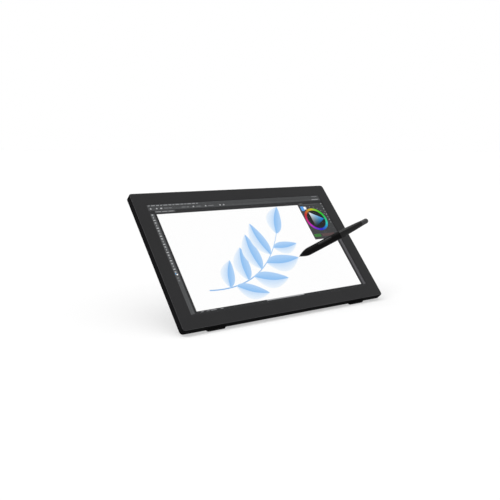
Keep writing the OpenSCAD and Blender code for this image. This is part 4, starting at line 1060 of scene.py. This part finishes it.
def pen_tail():
    """The round-ended tail cap."""
    middle = PEN_END - TAIL_R
    rings = [(BARREL_END, CAP_R - SEAM), (BARREL_END + SEAM, CAP_R), (middle, TAIL_R)]
    rings += [(middle + TAIL_R * math.sin(turn), TAIL_R * math.cos(turn))
              for turn in spread(0, TAIL_OPEN, DOME_STEPS)[1:]]
    fit_to_pen(turned("pen_tail_cap", rings), "pen_cap_plastic", "pen_end_cap")


# Studio
VIEW_AZIMUTH = math.radians(-36.083)
VIEW_RISE = math.radians(9.11)
VIEW_ROLL = math.radians(0.249)
VIEW_DISTANCE = 1.4583
VIEW_LENS = 47.567
VIEW_AIM = FACE + Vector((-24.31, 16.0, -6.2)) * MM
FLOOR_SIZE = 60
FLOOR_GREY = "#c3c3c3"
FLOOR_LIFT = 0.43
SKY_LOW, SKY_HIGH = 0.5, 0.9
# Each lamp: where its light comes from, its strength, and how wide it looks in degrees
LAMPS = {
    "high_lamp": (Vector((-0.35, 0.42, 1.4)), 0.6, 60),
    "side_lamp": (Vector((-0.58, 0.3, 0.755)), 0.65, 30),
}


def camera():
    """Looks at the screen from the front left, a little above it."""
    lens = bpy.data.cameras.new("view")
    lens.lens = VIEW_LENS
    viewer = bpy.data.objects.new("view", lens)
    flat = math.cos(VIEW_RISE)
    away = Vector((flat * math.sin(VIEW_AZIMUTH), -flat * math.cos(VIEW_AZIMUTH), math.sin(VIEW_RISE)))
    level = (-away).to_track_quat("-Z", "Y").to_matrix().to_4x4()
    viewer.matrix_world = (Matrix.Translation(VIEW_AIM + away * VIEW_DISTANCE) @ level
                           @ Matrix.Rotation(VIEW_ROLL, 4, "Z"))
    bpy.context.scene.collection.objects.link(viewer)
    bpy.context.scene.camera = viewer


def white_share(finish):
    """One for what is seen straight, in gloss or through glass, and none for light that falls on things."""
    path = add(finish, "ShaderNodeLightPath")
    seen = add(finish, "ShaderNodeMath", {0: (path, "Is Camera Ray"), 1: (path, "Is Glossy Ray")},
               operation="MAXIMUM")
    through = add(finish, "ShaderNodeMath", {0: (seen, "Value"), 1: (path, "Is Transmission Ray")},
                  operation="MAXIMUM")
    return through, "Value"


def studio_floor():
    """A white sweep that the camera sees as white, with the object's shadow on it."""
    finish = new_finish("white_studio_floor")
    diffuse = add(finish, "ShaderNodeBsdfDiffuse", {"Color": tint(FLOOR_GREY)})
    lift = add(finish, "ShaderNodeMath", {0: white_share(finish), 1: FLOOR_LIFT}, operation="MULTIPLY")
    glow = add(finish, "ShaderNodeEmission", {"Color": tint(WHITE), "Strength": (lift, "Value")})
    both = add(finish, "ShaderNodeAddShader", {0: (diffuse, "BSDF"), 1: (glow, "Emission")})
    add(finish, "ShaderNodeOutputMaterial", {"Surface": (both, "Shader")})
    bpy.ops.object.select_all(action="DESELECT")
    bpy.ops.mesh.primitive_plane_add(size=FLOOR_SIZE)
    floor = bpy.context.active_object
    floor.name = "studio_floor"
    floor.data.materials.append(finish)


def studio_light():
    """A white room to the eye, to gloss and to glass, a soft dome to everything else, and two wide lamps."""
    world = bpy.data.worlds.new("studio_sky")
    world.use_nodes = True
    world.node_tree.nodes.clear()
    at = add(world, "ShaderNodeTexCoord")
    axes = add(world, "ShaderNodeSeparateXYZ", {"Vector": (at, "Generated")})
    dome = add(world, "ShaderNodeMapRange", {"Value": (axes, "Z"), "To Min": SKY_LOW, "To Max": SKY_HIGH})
    level = add(world, "ShaderNodeMix", {"Factor": white_share(world), "A": (dome, "Result"), "B": 1.0})
    sky = add(world, "ShaderNodeBackground", {"Color": tint(WHITE), "Strength": (level, "Result")})
    add(world, "ShaderNodeOutputWorld", {"Surface": (sky, "Background")})
    bpy.context.scene.world = world
    for name, (start, strength, width) in LAMPS.items():
        lamp = bpy.data.lights.new(name, "SUN")
        lamp.energy = strength
        lamp.angle = math.radians(width)
        holder = bpy.data.objects.new(name, lamp)
        holder.rotation_euler = (-start).to_track_quat("-Z", "Y").to_euler()
        bpy.context.scene.collection.objects.link(holder)


def main():
    """Makes every piece, finishes the solids that stay, and sets up the studio."""
    cover_glass()
    shells()
    window_panels()
    window_marks()
    hue_ring()
    shade_triangle()
    stem()
    sprig()
    pen_tip()
    pen_grip()
    pen_barrel()
    pen_tail()
    finish_solids()
    camera()
    studio_floor()
    studio_light()
    bpy.context.scene.view_settings.view_transform = "Standard"


main()
